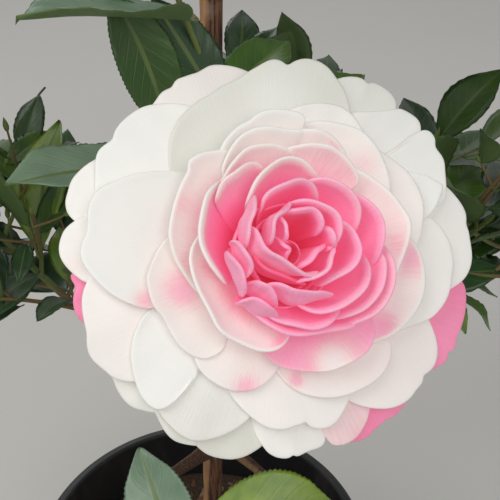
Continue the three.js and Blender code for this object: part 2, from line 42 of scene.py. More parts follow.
# Pot and potting mix
POT_HEIGHT = 200
POT_BASE_RADIUS = 85
POT_RIM_RADIUS = 110
POT_WALL = 3
POT_FLOOR = 4
RIM_ROLL = 5
RIM_DEPTH = 11
RIM_BEVEL = 2
FOOT_BAND = 26
COLLAR_DEPTH = 20
WALL_SWELL = 0.5
COLLAR_SWELL = 1.2
MIX_TOP = 165
MIX_RINGS = 34
MIX_SIDES = 120
CHIPS_SOWN = 900
CHIPS_REACH = 94
CHIPS_FROM_TRUNK = 13
CHIP_SIZE = 2.2
CHIP_SIZE_MORE = 6.5
CHIP_SIDES = 6
CLEARANCE = 0.3

# Trunk
FOOT_X = 6.4
LEAN = 0.0215
TRUNK_TOP = 640
TRUNK_FOOT_RADIUS = 6.3
TRUNK_TOP_RADIUS = 5.2
FLARE_RADIUS = 5
FLARE_HEIGHT = 13
FLARE_LOBES = 5

# Boughs, twigs and leaves
BOUGH_STATIONS = 4
BOUGH_TIP_RADIUS = 2.6
BOUGH_RINGS = 46
BOUGH_SAG = 0.28
BOUGH_FOOT_LEAST = 3.2
BOUGH_FOOT_MOST = 5.2
BOUGH_FOOT_BY_REACH = 0.011
ENTRY_LEAST = 0.3
ENTRY_MOST = 0.7
COLLAR = 1.45
STEM_RADIUS = 2.6
STEM_END_RADIUS = 2
TWIG_RADIUS = 1.35
TWIG_TIP_RADIUS = 0.9
TWIG_LEAST = 14
TWIG_FIRST = 0.12
TWIG_RUN = 0.86
TWIG_SWING = 0.6
TWIG_LEAN = (44, 74)
TWIG_RISE = 0.12
ROOM_STEP = 4
STEM_END = 30
LEAF_ROOM = 42
LEAF_STEP = 13
LEAVES_PER_TWIG = 5
LEAF_TURN = math.radians(144)
LEAF_LEAN = 26
LEAF_LEAN_MORE = 9
LEAF_INSET = 1.5
LEAF_JITTER = 0.7
GOLDEN_TURN = math.radians(137.5)
LEAF_LENGTH = (70, 94)
LEAF_SIZES = (1, 0.84, 0.7)
LEAF_WIDTH = 0.46
LEAF_FOLD = 0.09
LEAF_DROOP = 0.22
LEAF_SPACING = 18
CELL_MARGIN = 0.8
LIMB_MARGIN = 1.6
TWIGS_PER_MASS = 8

# Finer growth between the main twigs
SPRIG_SHARES = (0.3, 0.55, 0.8)
SPRIG_LEAST = 7
SPRIG_ROOM = 24
SPRIG_LEAF_LENGTH = (36, 62)
SPRIG_LEAF_STEP = 9
SPRIG_SPACING = 11
SPRIG_LENGTH = (16, 46)
SPRIG_SWING = 0.8
SPRIG_LEAN = (38, 72)
SPRIG_RISE = 0.2
SPRIG_RADIUS = 0.95
SPRIG_TIP_RADIUS = 0.6
STEM_SPRIG_SHARES = (0.2, 0.45, 0.7, 0.95)

# How a blade bends, as a range that each leaf draws from: its arch and the curl of its tip, as shares of
# its length, and the rise of its sides from the midrib
LEAF_ARCH = (0.02, 0.07)
LEAF_CURL = (0.02, 0.09)
LEAF_CUP = (0.2, 0.5)
LEAF_TOOTH = 0.035
LEAF_THICKNESS = 0.5
FRONT_LEAF_CALM = 0.2

# How finely a blade is made: rows along it and columns on each side of its midrib
LEAF_GRID = (22, 4)
FRONT_LEAF_GRID = (60, 9)

# Seeds of the streams of numbers that each part draws from, and the range of a ripple's phase
MASS_SEED = 11
FINER_SEED = 500
BEND_SEED = 900
CHIP_SEED = 404
BLOOM_SEED = 77
CALYX_SEED = 31
SHOOT_SEED = 55
PHASES = 6.28

# Bloom, on an axis that leaves its receptacle towards the open side
RECEPTACLE = np.array([33.4, -175.9, 540.6])
BLOOM_AXIS = np.array([0.3102, -0.7384, 0.5988])
BLOOM_AXIS /= np.linalg.norm(BLOOM_AXIS)
BLOOM_OUTER_RADIUS = 60

# The open side, where no leaf stands round the bloom: seen from a point, with a line of sight that drops
OPEN_POINT = np.array([32.0, -370.0, 671.0])
OPEN_DROP = math.radians(33)
SIGHT_AHEAD = np.array([0, math.cos(OPEN_DROP), -math.sin(OPEN_DROP)])
SIGHT_ABOVE = np.array([0, math.sin(OPEN_DROP), math.cos(OPEN_DROP)])
OPEN_SPREAD = 0.3
OPEN_BACK = -0.1
BEHIND_FROM = 250
BEHIND_RIGHT = 0.016
BEHIND_UP = -0.012
BEHIND_SPREAD = 0.21

# Each mass of foliage: azimuth, reach, height, spread sideways and upwards, and height of its bough's foot
MASSES = [
    ("low_front_left", 226, 139, 304, 90, 62, 288),
    ("low_front_right", 314, 136, 296, 90, 60, 300),
    ("low_right", 16, 159, 420, 98, 94, 338),
    ("low_back", 73, 164, 425, 96, 96, 372),
    ("low_left", 155, 154, 412, 98, 92, 322),
    ("mid_right", 343, 155, 608, 98, 98, 582),
    ("mid_back_right", 53, 156, 618, 96, 98, 566),
    ("mid_back_left", 114, 153, 606, 96, 98, 596),
    ("mid_left", 184, 144, 606, 98, 96, 574),
    ("upper_front", 269, 122, 722, 94, 80, 608),
    ("top_left", 168, 90, 762, 94, 88, 620),
    ("top_right", 22, 88, 768, 94, 88, 630),
    ("top", 260, 16, 838, 84, 72, TRUNK_TOP),
]

# Leaves close round the bloom: root, tip, the way the upper side looks, width, tone, and a bow sideways
BLOOM_LEAVES = [
    ((17, -122.5, 591), (-27, -158, 604), (-0.05, 0.08, 1), 34, "silvery", 0),
    ((-9, -126, 602), (6, -127, 557), (0.28, -0.86, 0.42), 19, "mid", -0.2),
    ((-7, -108, 594), (-32, -123, 596), (-0.1, -0.45, 0.85), 16, "deep", 0),
    ((22, -94, 552), (-4, -83, 580), (-0.35, -0.75, 0.55), 16, "silvery", 0),
    ((23, -109, 556), (2, -110, 594), (0.45, -0.75, 0.35), 20, "deep", 0),
    ((2, -93, 529), (-44, -137, 545), (-0.1, -0.2, 0.97), 31, "silvery", 0),
    ((20, -100, 555), (47, -60, 564), (-0.2, -0.7, 0.7), 20, "mid", 0),
    ((44, -102, 551), (75, -65, 552), (-0.2, -0.7, 0.7), 19, "mid", 0),
]
FRONT_LEAVES = {
    "low_front_left": [((1, -108, 303), (-26, -54, 343), (-0.05, -0.8, 0.6), 36, "silvery")],
    "low_front_right": [((5, -84, 321), (82, -75, 317), (0.02, -0.45, 0.9), 46, "fresh")],
}

# The greens, and the shares of the leaves that stay deep, and deep or mid; short leaves turn fresh sooner
# The last tone is a pale grey-green that is a painted reflection: the sky's sheen on leaves seen at a
# slant, painted into their colour
TONES = ("deep", "mid", "fresh", "silvery")
DEEP_SHARE = 0.6
MID_SHARE = 0.93
SHORT_LEAF = 44
SHORT_MID_SHARE = 0.75

# The wide petals from the outside in. Of each: height of its tip, the pinkness of claw and tip, where 0
# is white and less is a greyer white, which is painted shade on petals that turn away from the light,
# places along its rim as the bloom is seen, counter-clockwise, in a frame of 500 by 500, and its flushes:
# where each lies in that frame, its size and its depth, which is below 0 for a white patch.
WIDE_PETALS = [
    (2.5, (0.66, 0.68), [
        (78, 270), (70.5, 274), (71, 280), (76.5, 287), (74.5, 293), (73, 301), (73.5, 309),
        (76.5, 316.5), (82, 323), (90, 330),
    ]),
    (3, (0.62, 0.64), [
        (424, 376), (434, 369.5), (441, 365.5), (446.5, 361), (448, 356.5), (446, 352.5), (451, 352.5),
        (455, 348.5), (456, 343.5), (455.5, 338.5), (460, 332), (463.5, 324), (466, 313), (467.5, 303),
        (468, 294), (466.5, 287), (463, 281), (456, 276),
    ]),
    (2.5, (0.62, 0.66), [
        (338, 440), (350, 443.5), (359, 442), (367, 439), (373.5, 434), (378, 428), (383, 424.5),
        (386, 420), (393, 417.5), (399, 412), (404, 406), (409, 400), (412, 392),
    ]),
    (4.5, (0.0, -0.05), [
        (104, 366), (108, 374), (112.5, 379), (116, 389), (121, 397.5), (127.5, 404.5), (135, 409),
        (144, 411.5), (155, 414), (166, 413), (176, 408),
    ]),
    (4.5, (0.0, -0.06), [
        (150, 404), (155, 413), (159, 421.5), (163.5, 430), (169, 437), (176, 442.5), (185, 445.5),
        (196, 447), (208, 446), (220, 440),
    ]),
    (4.5, (0.0, -0.09), [
        (188, 436), (196, 446.5), (202, 452), (209, 456.5), (218, 459), (230, 460), (241, 458),
        (250, 454.5), (258, 449.5), (264, 445), (270, 436),
    ]),
    (5, (0.05, 0.02), [
        (104, 152), (97, 158.5), (89, 163.5), (82, 169), (75, 176), (70, 184), (67.5, 193), (65, 201),
        (65.5, 209), (68, 215), (73, 220), (80, 226),
    ]),
    (6, (0.05, 0.03), [
        (84, 216), (76, 220), (70, 224), (64, 230), (60.5, 238), (58.5, 247), (59.5, 256), (63, 263),
        (68, 269.5), (75, 276), (82, 281.5), (88, 284), (96, 284),
    ], (78, 268, 12, 0.08)),
    (4.5, (0.08, 0.05), [
        (262, 78), (250, 71), (240, 67.5), (230, 65.5), (220, 64.5), (211, 65), (204, 69), (197, 74),
        (190, 75.5), (184, 78), (177, 79.5), (173.5, 83), (172.5, 88.5), (166.5, 89.5), (161, 93),
        (157.5, 98), (154.5, 102.5), (150, 107), (150, 116),
    ]),
    (5, (0.0, -0.03), [
        (392, 122), (396, 112), (398, 104), (395, 96.5), (390, 91), (383, 86), (376, 83), (370, 82.5),
        (367.5, 86), (365, 81), (360, 78), (352, 77), (344, 77.5), (337, 79), (328, 84),
    ]),
    (5.5, (0.25, 0.2), [
        (322, 430), (326.5, 438.5), (330.5, 444.5), (336, 446.5), (343, 445.5), (350.5, 442),
        (358, 437.5), (364, 430), (368.5, 420.5), (371, 410), (372, 398),
    ]),
    (6, (0.04, 0.02), [
        (254, 428), (257, 438), (263, 447), (268.5, 454), (276, 458), (284, 459), (290.5, 458),
        (292.5, 453.5), (295, 457.5), (301, 455.5), (308, 452), (316, 450), (323, 447.5), (326.5, 443),
        (326, 437), (330, 428),
    ]),
    (7, (0.04, 0.0), [
        (428, 168), (427, 158), (423, 150), (420.5, 142), (421, 135), (421.5, 127), (420, 120.5),
        (415, 115.5), (408, 111), (400, 108), (393, 110), (380, 111.5), (366, 112.5), (355, 112),
    ]),
    (7, (0.05, 0.02), [
        (447, 292), (455, 287), (463, 281), (468, 274), (471, 266), (472, 257), (471, 247), (470, 237),
        (469.5, 229), (466.5, 225), (468, 220), (467, 213), (463, 205), (457, 197), (450, 189),
        (443, 184), (433, 180),
    ]),
    (7.5, (0.1, 0.05), [
        (92, 272), (87, 282), (83.5, 290), (81.5, 300), (82, 311), (84, 322), (87, 334), (86.5, 343),
        (88, 353), (92, 360.5), (99, 367), (106, 372.5), (112.5, 378.5), (122, 382), (133, 383),
    ]),
    (7.5, (0.04, 0.0), [
        (200, 110), (188, 105), (172, 103), (160, 103.5), (153, 104), (145, 106), (137, 109.5),
        (129, 115), (121, 122), (116, 129), (113, 136), (113.5, 140), (105, 145), (99, 150), (96, 157),
        (95, 166), (95, 178), (94.5, 190), (96, 200),
    ]),
    (7.8, (0.0, -0.05), [
        (148, 400), (157, 410), (163, 419), (171, 428), (180, 435.5), (191, 441), (203, 442),
        (215, 439.5), (227, 435), (238, 429), (248, 421), (254, 411),
    ]),
    (8.5, (0.15, 0.06), [
        (344, 396), (352, 403), (361, 406.5), (372, 409), (384, 409.5), (395, 408), (405, 403),
        (411.5, 397), (416, 389.5), (420.5, 386), (424, 380), (422.5, 376), (429.5, 373), (435, 367),
        (438, 358), (439, 348), (437.5, 338), (434, 328.5), (430, 320), (424, 312),
    ]),
    (9.8, (0.04, 0.0), [
        (446, 196), (446.5, 185), (446, 174), (445.5, 163), (443, 156), (439.5, 152), (438, 149),
        (435.5, 147), (437, 140), (433.5, 134), (428, 130), (420, 131), (413, 137), (405, 143),
        (397, 148.5), (388, 153),
    ]),
    (10, (-0.03, -0.07), [
        (352, 118), (350, 106), (345, 90), (336, 78), (329, 69), (320, 62.5), (310, 59.5), (303, 59),
        (296, 61), (291, 63.5), (287.5, 67), (284.5, 64), (281, 61), (274, 59.5), (267, 61.5), (259, 66),
        (250, 71), (240, 78), (230, 83), (221, 87), (212, 94), (200, 100), (190, 108), (180, 118),
        (174, 129), (170, 141), (169, 152), (169, 165),
    ], (275, 95, 30, 0.04)),
    (10.5, (0.08, 0.03), [
        (222, 381), (228, 390), (234, 400), (243, 410.5), (252, 418.5), (262, 426), (271, 429.5),
        (280, 430.5), (289, 429), (297, 425.5), (303, 425.5), (306, 421), (308.5, 426.5), (315, 429.5),
        (323, 430), (331, 428), (338, 423), (344, 414), (349.5, 402.5), (352, 392),
    ]),
    (11, (0.06, 0.03), [
        (403, 330), (412, 327), (422, 323), (431, 319), (438, 312.5), (445, 303), (449, 293), (451, 283),
        (452, 275), (454.5, 266), (453.5, 255), (451, 244), (447, 235), (441, 226), (434, 219.5),
        (426, 216.5), (418, 215),
    ]),
    (10, (0.04, 0.0), [
        (162, 304), (150, 310), (144, 315), (139, 324), (134, 335), (131, 348), (131, 361), (133, 374),
        (137, 388), (142, 399), (149, 406.5), (157, 411), (166, 409), (175, 402), (184, 392), (192, 381),
        (199, 370), (204, 358),
    ]),
    (12, (0.04, 0.0), [
        (427, 219), (433, 211), (438, 203), (442, 192), (443.5, 185), (437, 181), (428, 175.5),
        (418, 173), (409, 172), (400, 168),
    ]),
    (12.5, (0.1, 0.0), [
        (182, 172), (168, 171), (152, 172), (140, 173.5), (127, 177), (115, 181.5), (104, 186.5),
        (96, 191.5), (91, 200), (87.5, 211), (87.5, 222), (87, 233), (82, 243), (80, 252), (81, 260),
        (86, 269), (94, 279), (103, 288), (113, 296), (124, 302), (136, 307), (147, 309.5), (157, 308),
    ], (145, 301, 12, 0.32)),
    (13, (0.2, 0.06), [
        (190, 346), (194, 357), (197, 367), (204, 376), (212, 382.5), (221, 387.5), (231, 391.5),
        (243, 392.5), (254, 391), (263, 386), (271, 379.5), (278, 371), (282, 362),
    ], (246, 387, 14, 0.32)),
    (13.5, (0.3, 0.08), [
        (270, 364), (278, 373), (286, 383), (296, 391), (308, 396), (322, 398.5), (336, 398.5),
        (350, 395), (362, 389.5), (373, 383.5), (382, 375.5), (389, 364.5), (392, 353), (391.5, 342),
        (387, 332),
    ], (296, 380, 8, 0.34)),
    (14.5, (0.2, 0.06), [
        (166, 240), (158, 250), (151, 264), (146, 278), (148, 291), (151, 302), (155, 310), (161, 315),
        (165, 322), (169, 330), (174, 339), (180, 347), (187, 353), (195, 357.5), (206, 360), (216, 356),
    ], (180, 291, 18, 0.32)),
    (15, (0.3, 0.05), [
        (412, 256), (417, 246), (421, 235), (423, 222), (424, 210), (423, 199), (419, 188), (414, 179),
        (408, 171.5), (400, 165), (391, 158), (383, 153), (376, 150),
    ]),
    (15, (0.2, 0.03), [
        (374, 150), (368, 139), (362, 129), (356, 119), (349, 111), (340, 106), (330, 104), (318, 103.5),
        (305, 105), (295, 108), (286, 112),
    ]),
    (17, (0.5, 0.1), [
        (370, 345), (380, 341.5), (391, 337), (401, 330), (409, 321.5), (416, 312.5), (421, 304),
        (424.5, 295), (426, 284), (426, 273), (424, 262), (420.5, 252), (415, 243), (409, 236),
    ], (412, 257, 17, 0.24), (382, 327, 15, 0.4)),
    (18, (0.4, 0.06), [
        (391, 200), (391, 188), (389, 176), (386, 166), (381, 155), (375, 145), (368, 136.5),
        (360, 129.5), (350, 126), (340, 123.5), (328, 121.5), (315, 121), (303, 124), (292, 128),
    ], (365, 165, 14, 0.1)),
    (19, (0.5, 0.08), [
        (222, 150), (212, 151.5), (203, 153), (195, 156.5), (189, 161), (187.5, 164), (189.5, 168.5),
        (187, 174), (182, 183), (178, 193), (174, 205), (170.5, 218), (168, 230), (168, 239),
        (170.5, 250), (174, 260), (180, 270), (187, 280), (194, 289), (202, 295), (210, 297),
    ], (184, 204, 12, 0.12), (186, 262, 15, 0.12)),
    (20, (0.4, 0.03), [
        (300, 113), (288, 110.5), (276, 109.5), (266, 110.5), (258, 114), (251, 120.5), (241, 125),
        (232, 131.5), (224, 141), (218, 152), (212, 164), (208, 175), (204.5, 187), (201, 198),
    ]),
    (20, (0.8, 0.46), [
        (256, 346), (263, 353.5), (271, 361), (280, 366.5), (290, 370), (302, 371.5), (315, 372),
        (327, 371.5), (338, 369), (349, 364), (359, 359), (368, 352), (373, 343), (375.5, 333),
        (374.5, 324), (372, 316),
    ], (332, 361, 25, -0.46)),
    (22, (0.6, 0.08), [
        (300, 130), (290, 130), (283, 129), (273, 126.5), (262, 127), (252, 130), (243, 134.5),
        (235, 142), (228, 153), (223, 165),
    ]),
    (22.5, (0.45, 0.1), [
        (345, 152), (339, 143), (331, 135), (323, 130.5), (312, 128.5), (301, 129.5), (291, 131.5),
        (284, 134.5),
    ], (286, 139, 9, 0.24), (338, 143, 9, 0.22)),
    (23, (0.75, 0.12), [
        (397, 273), (400, 266), (404, 256), (408, 245), (411, 233), (411, 223), (408, 215), (402, 207),
        (396, 198.5), (388, 190), (379, 183), (370, 176.5), (361, 171), (353, 168),
    ], (398, 245, 14, 0.16)),
    (23, (0.6, 0.06), [
        (199, 238), (193, 248), (190, 260), (191, 272), (194, 283), (199, 295), (204, 305), (210, 316),
        (216, 326.5), (223, 334), (233, 339.5), (245, 345.5), (257, 350.5), (268, 352), (277, 350.5),
        (284, 346), (289, 339), (291, 331),
    ], (206, 268, 13, 0.16), (283, 345, 12, 0.35)),
    (25, (0.75, 0.16), [
        (290, 150), (283, 146.5), (275, 144.5), (265, 144.5), (255, 146), (246, 149.5), (238, 156),
        (231, 164), (225, 173), (219, 184),
    ]),
    (26.5, (0.8, 0.2), [
        (358, 176), (354, 168), (349, 161), (344, 155.5), (337, 149.5), (330, 145.5), (320, 143.5),
        (310, 143.5), (299, 145.5), (290, 148), (283, 151),
    ]),
]

# In that frame: the middle of the cup's rim, how much a millimetre on the cup's rim takes up, where the
# petals' claws lie, the step between points of a rim, and how many points its shoulders have
FRAME_MIDDLE = (300, 248)
FRAME_STEP = 4.2
CLAWS_SEEN = (258, 262)
RIM_STEP = 2.4
SHOULDER_POINTS = 6

# How many times a wide petal's rim, and the line that its body follows, are smoothed, and how far out and
# how wide its claw is
RIM_PASSES = 3
BODY_PASSES = 40
WIDE_CLAW_REACH = 4
WIDE_CLAW_HALF = 2.4

# The tip height from which a wide petal is an inner one, whose rim ends in a thicker pale lip
LIPPED_FROM = 17
LIP_MORE = 0.4

# Whorls that fill the cup. Of each whorl: where its claws and bellies lie, how round its tips are, how it
# wraps round, how it ruffles and tilts, and how pink it is from claw to tip. Of each petal: turn, reach,
# half width and rise of the tip.
WHORLS = [
    dict(
        claw=(4.5, 8), belly=1.0, lift=16, round=0.3, wrap=16, ruffle=0.3, tilt=0.4, pink=(0.95, 0.8),
        petals=[(turn, 12.8, 8, 22.5) for turn in range(10, 370, 40)],
    ),
    dict(
        claw=(0.4, 8), belly=1.1, lift=17, round=0.3, wrap=10, ruffle=0.3, tilt=0.4, pink=(1.0, 0.95),
        petals=[(turn, 9.5, 7, 25) for turn in range(30, 390, 60)],
    ),
    dict(
        claw=(1.5, 13), belly=1.6, lift=18, round=0.35, wrap=6, ruffle=0.1, tilt=0.2, pink=(1.0, 0.9),
        petals=[
            (20, 3.4, 4, 24.5), (92, 3, 4, 22.5), (164, 3.2, 4, 22), (236, 3.4, 4, 24.5),
            (308, 2.6, 4.5, 26.5),
        ],
    ),
]

PETAL_THICKNESS = 0.6
LIP_THICKNESS = 1.15

# How pink a petal's back is, as a share of its front
BACK_PINK = 0.7

# How finely petals are made: rows along each and columns across it
WHORL_GRID = (16, 28)
CUP_GRID = (22, 32)

# The middle of the cup's rim as the bloom is seen: how deep in the view, and how far to the right and up
CUP_DEPTH = 202.4
CUP_RIGHT = 11.9
CUP_UP = 0.5

# The cup's petals. Of each: height of its rim, bulge, steepness, the pinkness of claw, wall and lip, and
# places along its rim, to the right of and above the middle of the cup, counter-clockwise. The deep coral
# at the claws, down in the cup, is partly the petals' own colour and partly painted shade.
CUP_PETALS = [
    (35, 1.2, 0.5, (1.0, 0.9, 0.5), [(5, 3), (6, 6.5), (3.5, 9.5), (0.5, 9.5), (-3.5, 8.5)]),
    (34.5, 1.7, 0.55, (1.0, 0.7, 0.5), [(-4, 8.5), (-2.5, 4.5), (-3, 1)]),
    (33, 1.6, 0.55, (1.0, 0.75, 0.58), [(-5.5, 3), (-2.5, 0), (-3, -3.5)]),
    (33, 1.5, 0.55, (1.0, 0.72, 0.58), [(0, -5.5), (3.5, -2), (7, 1.5)]),
    (34.5, 1.2, 0.5, (1.0, 0.85, 0.5), [(9.5, -0.5), (8.5, 3), (6, 6)]),
    (35, 5.2, 0.55, (1.0, 0.55, 0.46), [
        (-10, 6.2), (-9, 4.8), (-8.6, 2.9), (-8.3, 0.7), (-7.6, -0.7), (-6.2, -1.2), (-4.8, -1.9),
        (-3.3, -3.3), (-1.9, -4.3), (0, -5), (2, -6), (4.5, -6.4), (7, -5.5),
    ]),
    (35, 1.8, 0.6, (1.0, 0.6, 0.46), [(-0.5, 11), (-3, 9), (-5.5, 7.5), (-6, 4.5), (-6, 0)]),
    (34.5, 1.15, 0.5, (1.0, 0.8, 0.46), [(8, -1), (10, 4), (9.5, 8.5), (6, 10.5), (3, 11.5), (-2, 11)]),
    (34, 2.4, 0.6, (1.0, 0.62, 0.48), [(-1, -8), (3.5, -7), (6, -5.5), (7.5, -5), (7.5, -3), (8.5, 1.5)]),
    (31, 2.1, 0.6, (1.0, 0.82, 0.86), [
        (-10.7, 0), (-9.9, -2.2), (-8.9, -4.3), (-6.9, -5.9), (-3.9, -6.8), (-0.4, -7.8), (3, -8.3),
    ]),
    (33, 2.9, 0.6, (1.0, 0.58, 0.46), [
        (-9, -7.9), (-6.7, -7.6), (-4.8, -7.9), (-3.3, -8.6), (-2.1, -9.5), (-0.7, -10.7), (1.2, -10.2),
        (3.1, -11), (5.2, -10), (7.6, -9.8), (9.4, -9.4),
    ]),
    (32.5, 2.2, 0.6, (1.0, 0.6, 0.46), [
        (-11.6, -7.6), (-10, -7.1), (-9, -8.1), (-8.6, -8.8), (-7.6, -9), (-6.4, -10.5), (-5.2, -11.4),
        (-3.6, -13.2),
    ]),
    (33.5, 1.6, 0.6, (1.0, 0.58, 0.48), [
        (-15, 2.2), (-14, 1.7), (-13.3, 0.2), (-12.1, -1.9), (-11.4, -3.8), (-11, -5.2), (-11.4, -7.6),
    ]),
    (32.5, 1.5, 0.6, (1.0, 0.58, 0.48), [
        (-16.4, 0), (-16, -1), (-15, -2.9), (-14.3, -4.8), (-13.1, -7.1), (-12.4, -9), (-12.1, -11.8),
    ]),
    (33, 1.7, 0.6, (1.0, 0.56, 0.44), [
        (-9, 12.8), (-9.8, 10.2), (-10.6, 8.1), (-11.8, 7), (-12.1, 5.9), (-11.7, 3.8), (-11.4, -0.8),
    ]),
    (31, 1.9, 0.6, (1.0, 0.6, 0.48), [
        (-13.8, -11.6), (-12.4, -11.6), (-11, -11.6), (-8.7, -13), (-6.5, -14.5), (-3.3, -15.7),
    ]),
    (32, 1.0, 0.5, (1.0, 0.76, 0.42), [(6, 12), (3, 15.5), (0, 17), (-5, 14.5), (-8, 12.5), (-9, 9)]),
    (33, 1.05, 0.5, (1.0, 0.72, 0.46), [(5.5, -9.5), (13, -4.5), (15.5, -0.5), (13, 4.5), (10, 7.5)]),
    (31, 1.0, 0.48, (1.0, 0.66, 0.46), [
        (-0.5, -14), (5, -15.5), (11.5, -14), (16, -10), (17.5, -5.5), (17, -1),
    ]),
    (30.5, 0.98, 0.48, (1.0, 0.66, 0.42), [(15, 4), (14.5, 10.5), (12, 14.5), (7, 16.5), (1, 16.5)]),
    (30, 1.0, 0.48, (1.0, 0.66, 0.5), [(19, -4.5), (20.5, 1.5), (20, 6.5), (17.5, 10.5), (13, 14.5)]),
    (29.5, 0.98, 0.48, (0.95, 0.6, 0.44), [(8.5, -17.5), (16, -15), (20, -9.5), (21.5, -3.5), (19.5, 1)]),
    (28.5, 0.95, 0.45, (0.9, 0.54, 0.42), [
        (11.5, -19.5), (19.5, -15.5), (22.5, -9.5), (23.5, -4), (21, 2),
    ]),
    (29.5, 0.85, 0.42, (0.95, 0.64, 0.46), [
        (-8.5, -15.5), (-3, -18.5), (3.5, -19.5), (8, -18.5), (11.5, -14),
    ]),
    (28, 0.85, 0.42, (0.9, 0.56, 0.44), [
        (-12, -14.5), (-7, -19), (-2.5, -21), (5, -20.5), (13, -19.5), (17, -16),
    ]),
    (29.5, 0.85, 0.42, (1.0, 0.46, 0.08), [
        (6.5, 17), (1, 21.5), (-3, 22), (-7, 19.5), (-10, 17), (-12.5, 11),
    ]),
    (28.5, 0.75, 0.4, (1.0, 0.52, 0.16), [
        (-7, 19.5), (-10.5, 21), (-14, 19.5), (-18, 16.5), (-20.5, 12.5),
    ]),
    (27, 0.75, 0.4, (1.0, 0.6, 0.0), [
        (-18.5, 17.5), (-22.5, 13), (-24, 7.5), (-24, 2.5), (-22, -3.5), (-17.5, -9),
    ]),
]

# How far a cup petal's rim falls at its ends, and how far its lip rolls outwards
RIM_DROP = 1.5
LIP_ROLL = 0.8

UP = np.array([0.0, 0.0, 1.0])


def unit(vector):
    return vector / np.linalg.norm(vector)


def lerp(low, high, share):
    return low + (high - low) * share


def smooth(low, high, value):
    share = np.clip((value - low) / (high - low), 0, 1)
    return share * share * (3 - 2 * share)


def seeded_stream(seed):
    """A repeatable stream of numbers from 0 to 1."""
    state = seed
    whole = 0xFFFFFFFF

    def following():
        nonlocal state
        state = (state + 0x6D2B79F5) & whole
        mixed = ((state ^ (state >> 15)) * (1 | state)) & whole
        mixed = ((mixed + (((mixed ^ (mixed >> 7)) * (61 | mixed)) & whole)) & whole) ^ mixed
        return ((mixed ^ (mixed >> 14)) & whole) / 4294967296

    return following


# Meshes


class Shape:
    """Vertices in millimetres and faces, gathered piece by piece, with a finish for each face."""

    def __init__(self):
        self.points = []
        self.faces = []
        self.finishes = []
        self.marks = []
        self.count = 0

    def add(self, points, faces, finish=0, marks=None):
        points = np.asarray(points, float).reshape(-1, 3)
        faces = np.asarray(faces)
        self.points.append(points)
        self.faces.append(faces + self.count)
        self.finishes.append(np.broadcast_to(finish, len(faces)))
        marks = np.zeros_like(points) if marks is None else np.asarray(marks, float)
        self.marks.append(marks.reshape(-1, 3))
        self.count += len(points)

    def piece(self, name, finishes, slot, *nodes, mark=None, smooth_faces=True):
        """Makes the Blender object, with its finishes and the nodes that it stands for. Its slot is not
        used.
        """
        mesh = bpy.data.meshes.new(name)
        faces = [face for block in self.faces for face in block.tolist()]
        mesh.from_pydata((np.concatenate(self.points) * MM).tolist(), [], faces)
        for finish in finishes:
            mesh.materials.append(finish)
        mesh.polygons.foreach_set("material_index", np.concatenate(self.finishes).astype(np.int32))
        mesh.polygons.foreach_set("use_smooth", np.full(len(faces), smooth_faces))
        if mark:
            layer = mesh.attributes.new(mark, "FLOAT_VECTOR", "POINT")
            layer.data.foreach_set("vector", np.concatenate(self.marks).astype(np.float32).ravel())
        mesh.update()
        made = bpy.data.objects.new(name, mesh)
        bpy.context.scene.collection.objects.link(made)
        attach(made, "root")
        if nodes:
            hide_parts(*nodes)


def grid_faces(index):
    """Quads over a grid of point numbers."""
    corners = [index[:-1, :-1], index[1:, :-1], index[1:, 1:], index[:-1, 1:]]
    return np.stack(corners, axis=-1).reshape(-1, 4)


def ring_faces(rings, sides):
    """Quads round a stack of closed rings of points."""
    index = np.arange(rings * sides).reshape(rings, sides)
    return grid_faces(np.concatenate([index, index[:, :1]], axis=1))


def turns_round(sides):
    """Directions evenly round a circle."""
    return np.arange(sides) * 2 * math.pi / sides


def grid_normals(grid):
    """The way that each point of a grid faces."""
    along = np.gradient(grid, axis=0)
    across = np.gradient(grid, axis=1)
    normals = np.cross(along, across)
    return normals / np.maximum(np.linalg.norm(normals, axis=-1, keepdims=True), 1e-9)


def closed_sheet(shape, grid, thickness, front, back, front_marks, back_marks):
    """A thin closed sheet over a grid of points, whose front and back meet in its rim."""
    rows, columns = grid.shape[:2]
    inner = np.zeros((rows, columns))
    inner[1:-1, 1:-1] = np.broadcast_to(thickness, (rows, columns))[1:-1, 1:-1] / 2
    offset = grid_normals(grid) * inner[..., None]
    top = np.arange(rows * columns).reshape(rows, columns)
    under = top.copy()
    under[1:-1, 1:-1] = rows * columns + np.arange((rows - 2) * (columns - 2)).reshape(rows - 2, -1)
    points = np.concatenate([(grid + offset).reshape(-1, 3), (grid - offset)[1:-1, 1:-1].reshape(-1, 3)])
    marks = np.concatenate([front_marks.reshape(-1, 3), back_marks[1:-1, 1:-1].reshape(-1, 3)])
    faces = np.concatenate([grid_faces(top), grid_faces(under)[:, ::-1]])
    quads = (rows - 1) * (columns - 1)
    finish = np.concatenate([np.broadcast_to(front, quads), np.broadcast_to(back, quads)])
    shape.add(points, faces, finish, marks)


def square_to(along):
    """Two directions square to a third and to each other."""
    guide = np.array([1.0, 0, 0]) if abs(along[2]) > 0.9 else UP
    over = unit(guide - along * guide.dot(along))
    return unit(np.cross(over, along)), over


def tube(shape, centres, radii, sides, finish=0, relief=None, level=False):
    """A limb round a line of centres, with closed ends and, if given, a relief on its radius."""
    centres = np.asarray(centres, float)
    alongs = np.gradient(centres, axis=0)
    turns = turns_round(sides)
    rings = []
    marks = []
    across, over = square_to(UP if level else unit(alongs[0]))
    for index, (centre, radius) in enumerate(zip(centres, radii)):
        if not level:
            along = unit(alongs[index])
            over = unit(over - along * over.dot(along))
            across = np.cross(over, along)
        outs = np.outer(np.cos(turns), across) + np.outer(np.sin(turns), over)
        reach = np.full(sides, radius) if relief is None else radius + relief(centre, outs, radius)
        rings.append(centre + outs * reach[:, None])
        marks.append(np.stack([outs[:, 0], outs[:, 1], np.full(sides, index / len(centres))], axis=-1))
    faces = ring_faces(len(rings), sides)[:, ::-1]
    shape.add(np.concatenate(rings), faces, finish, np.concatenate(marks))
    for ring, turned in ((rings[0], 1), (rings[-1], -1)):
        shape.add(ring, [list(range(sides))[::turned]], finish)


# Shader maths


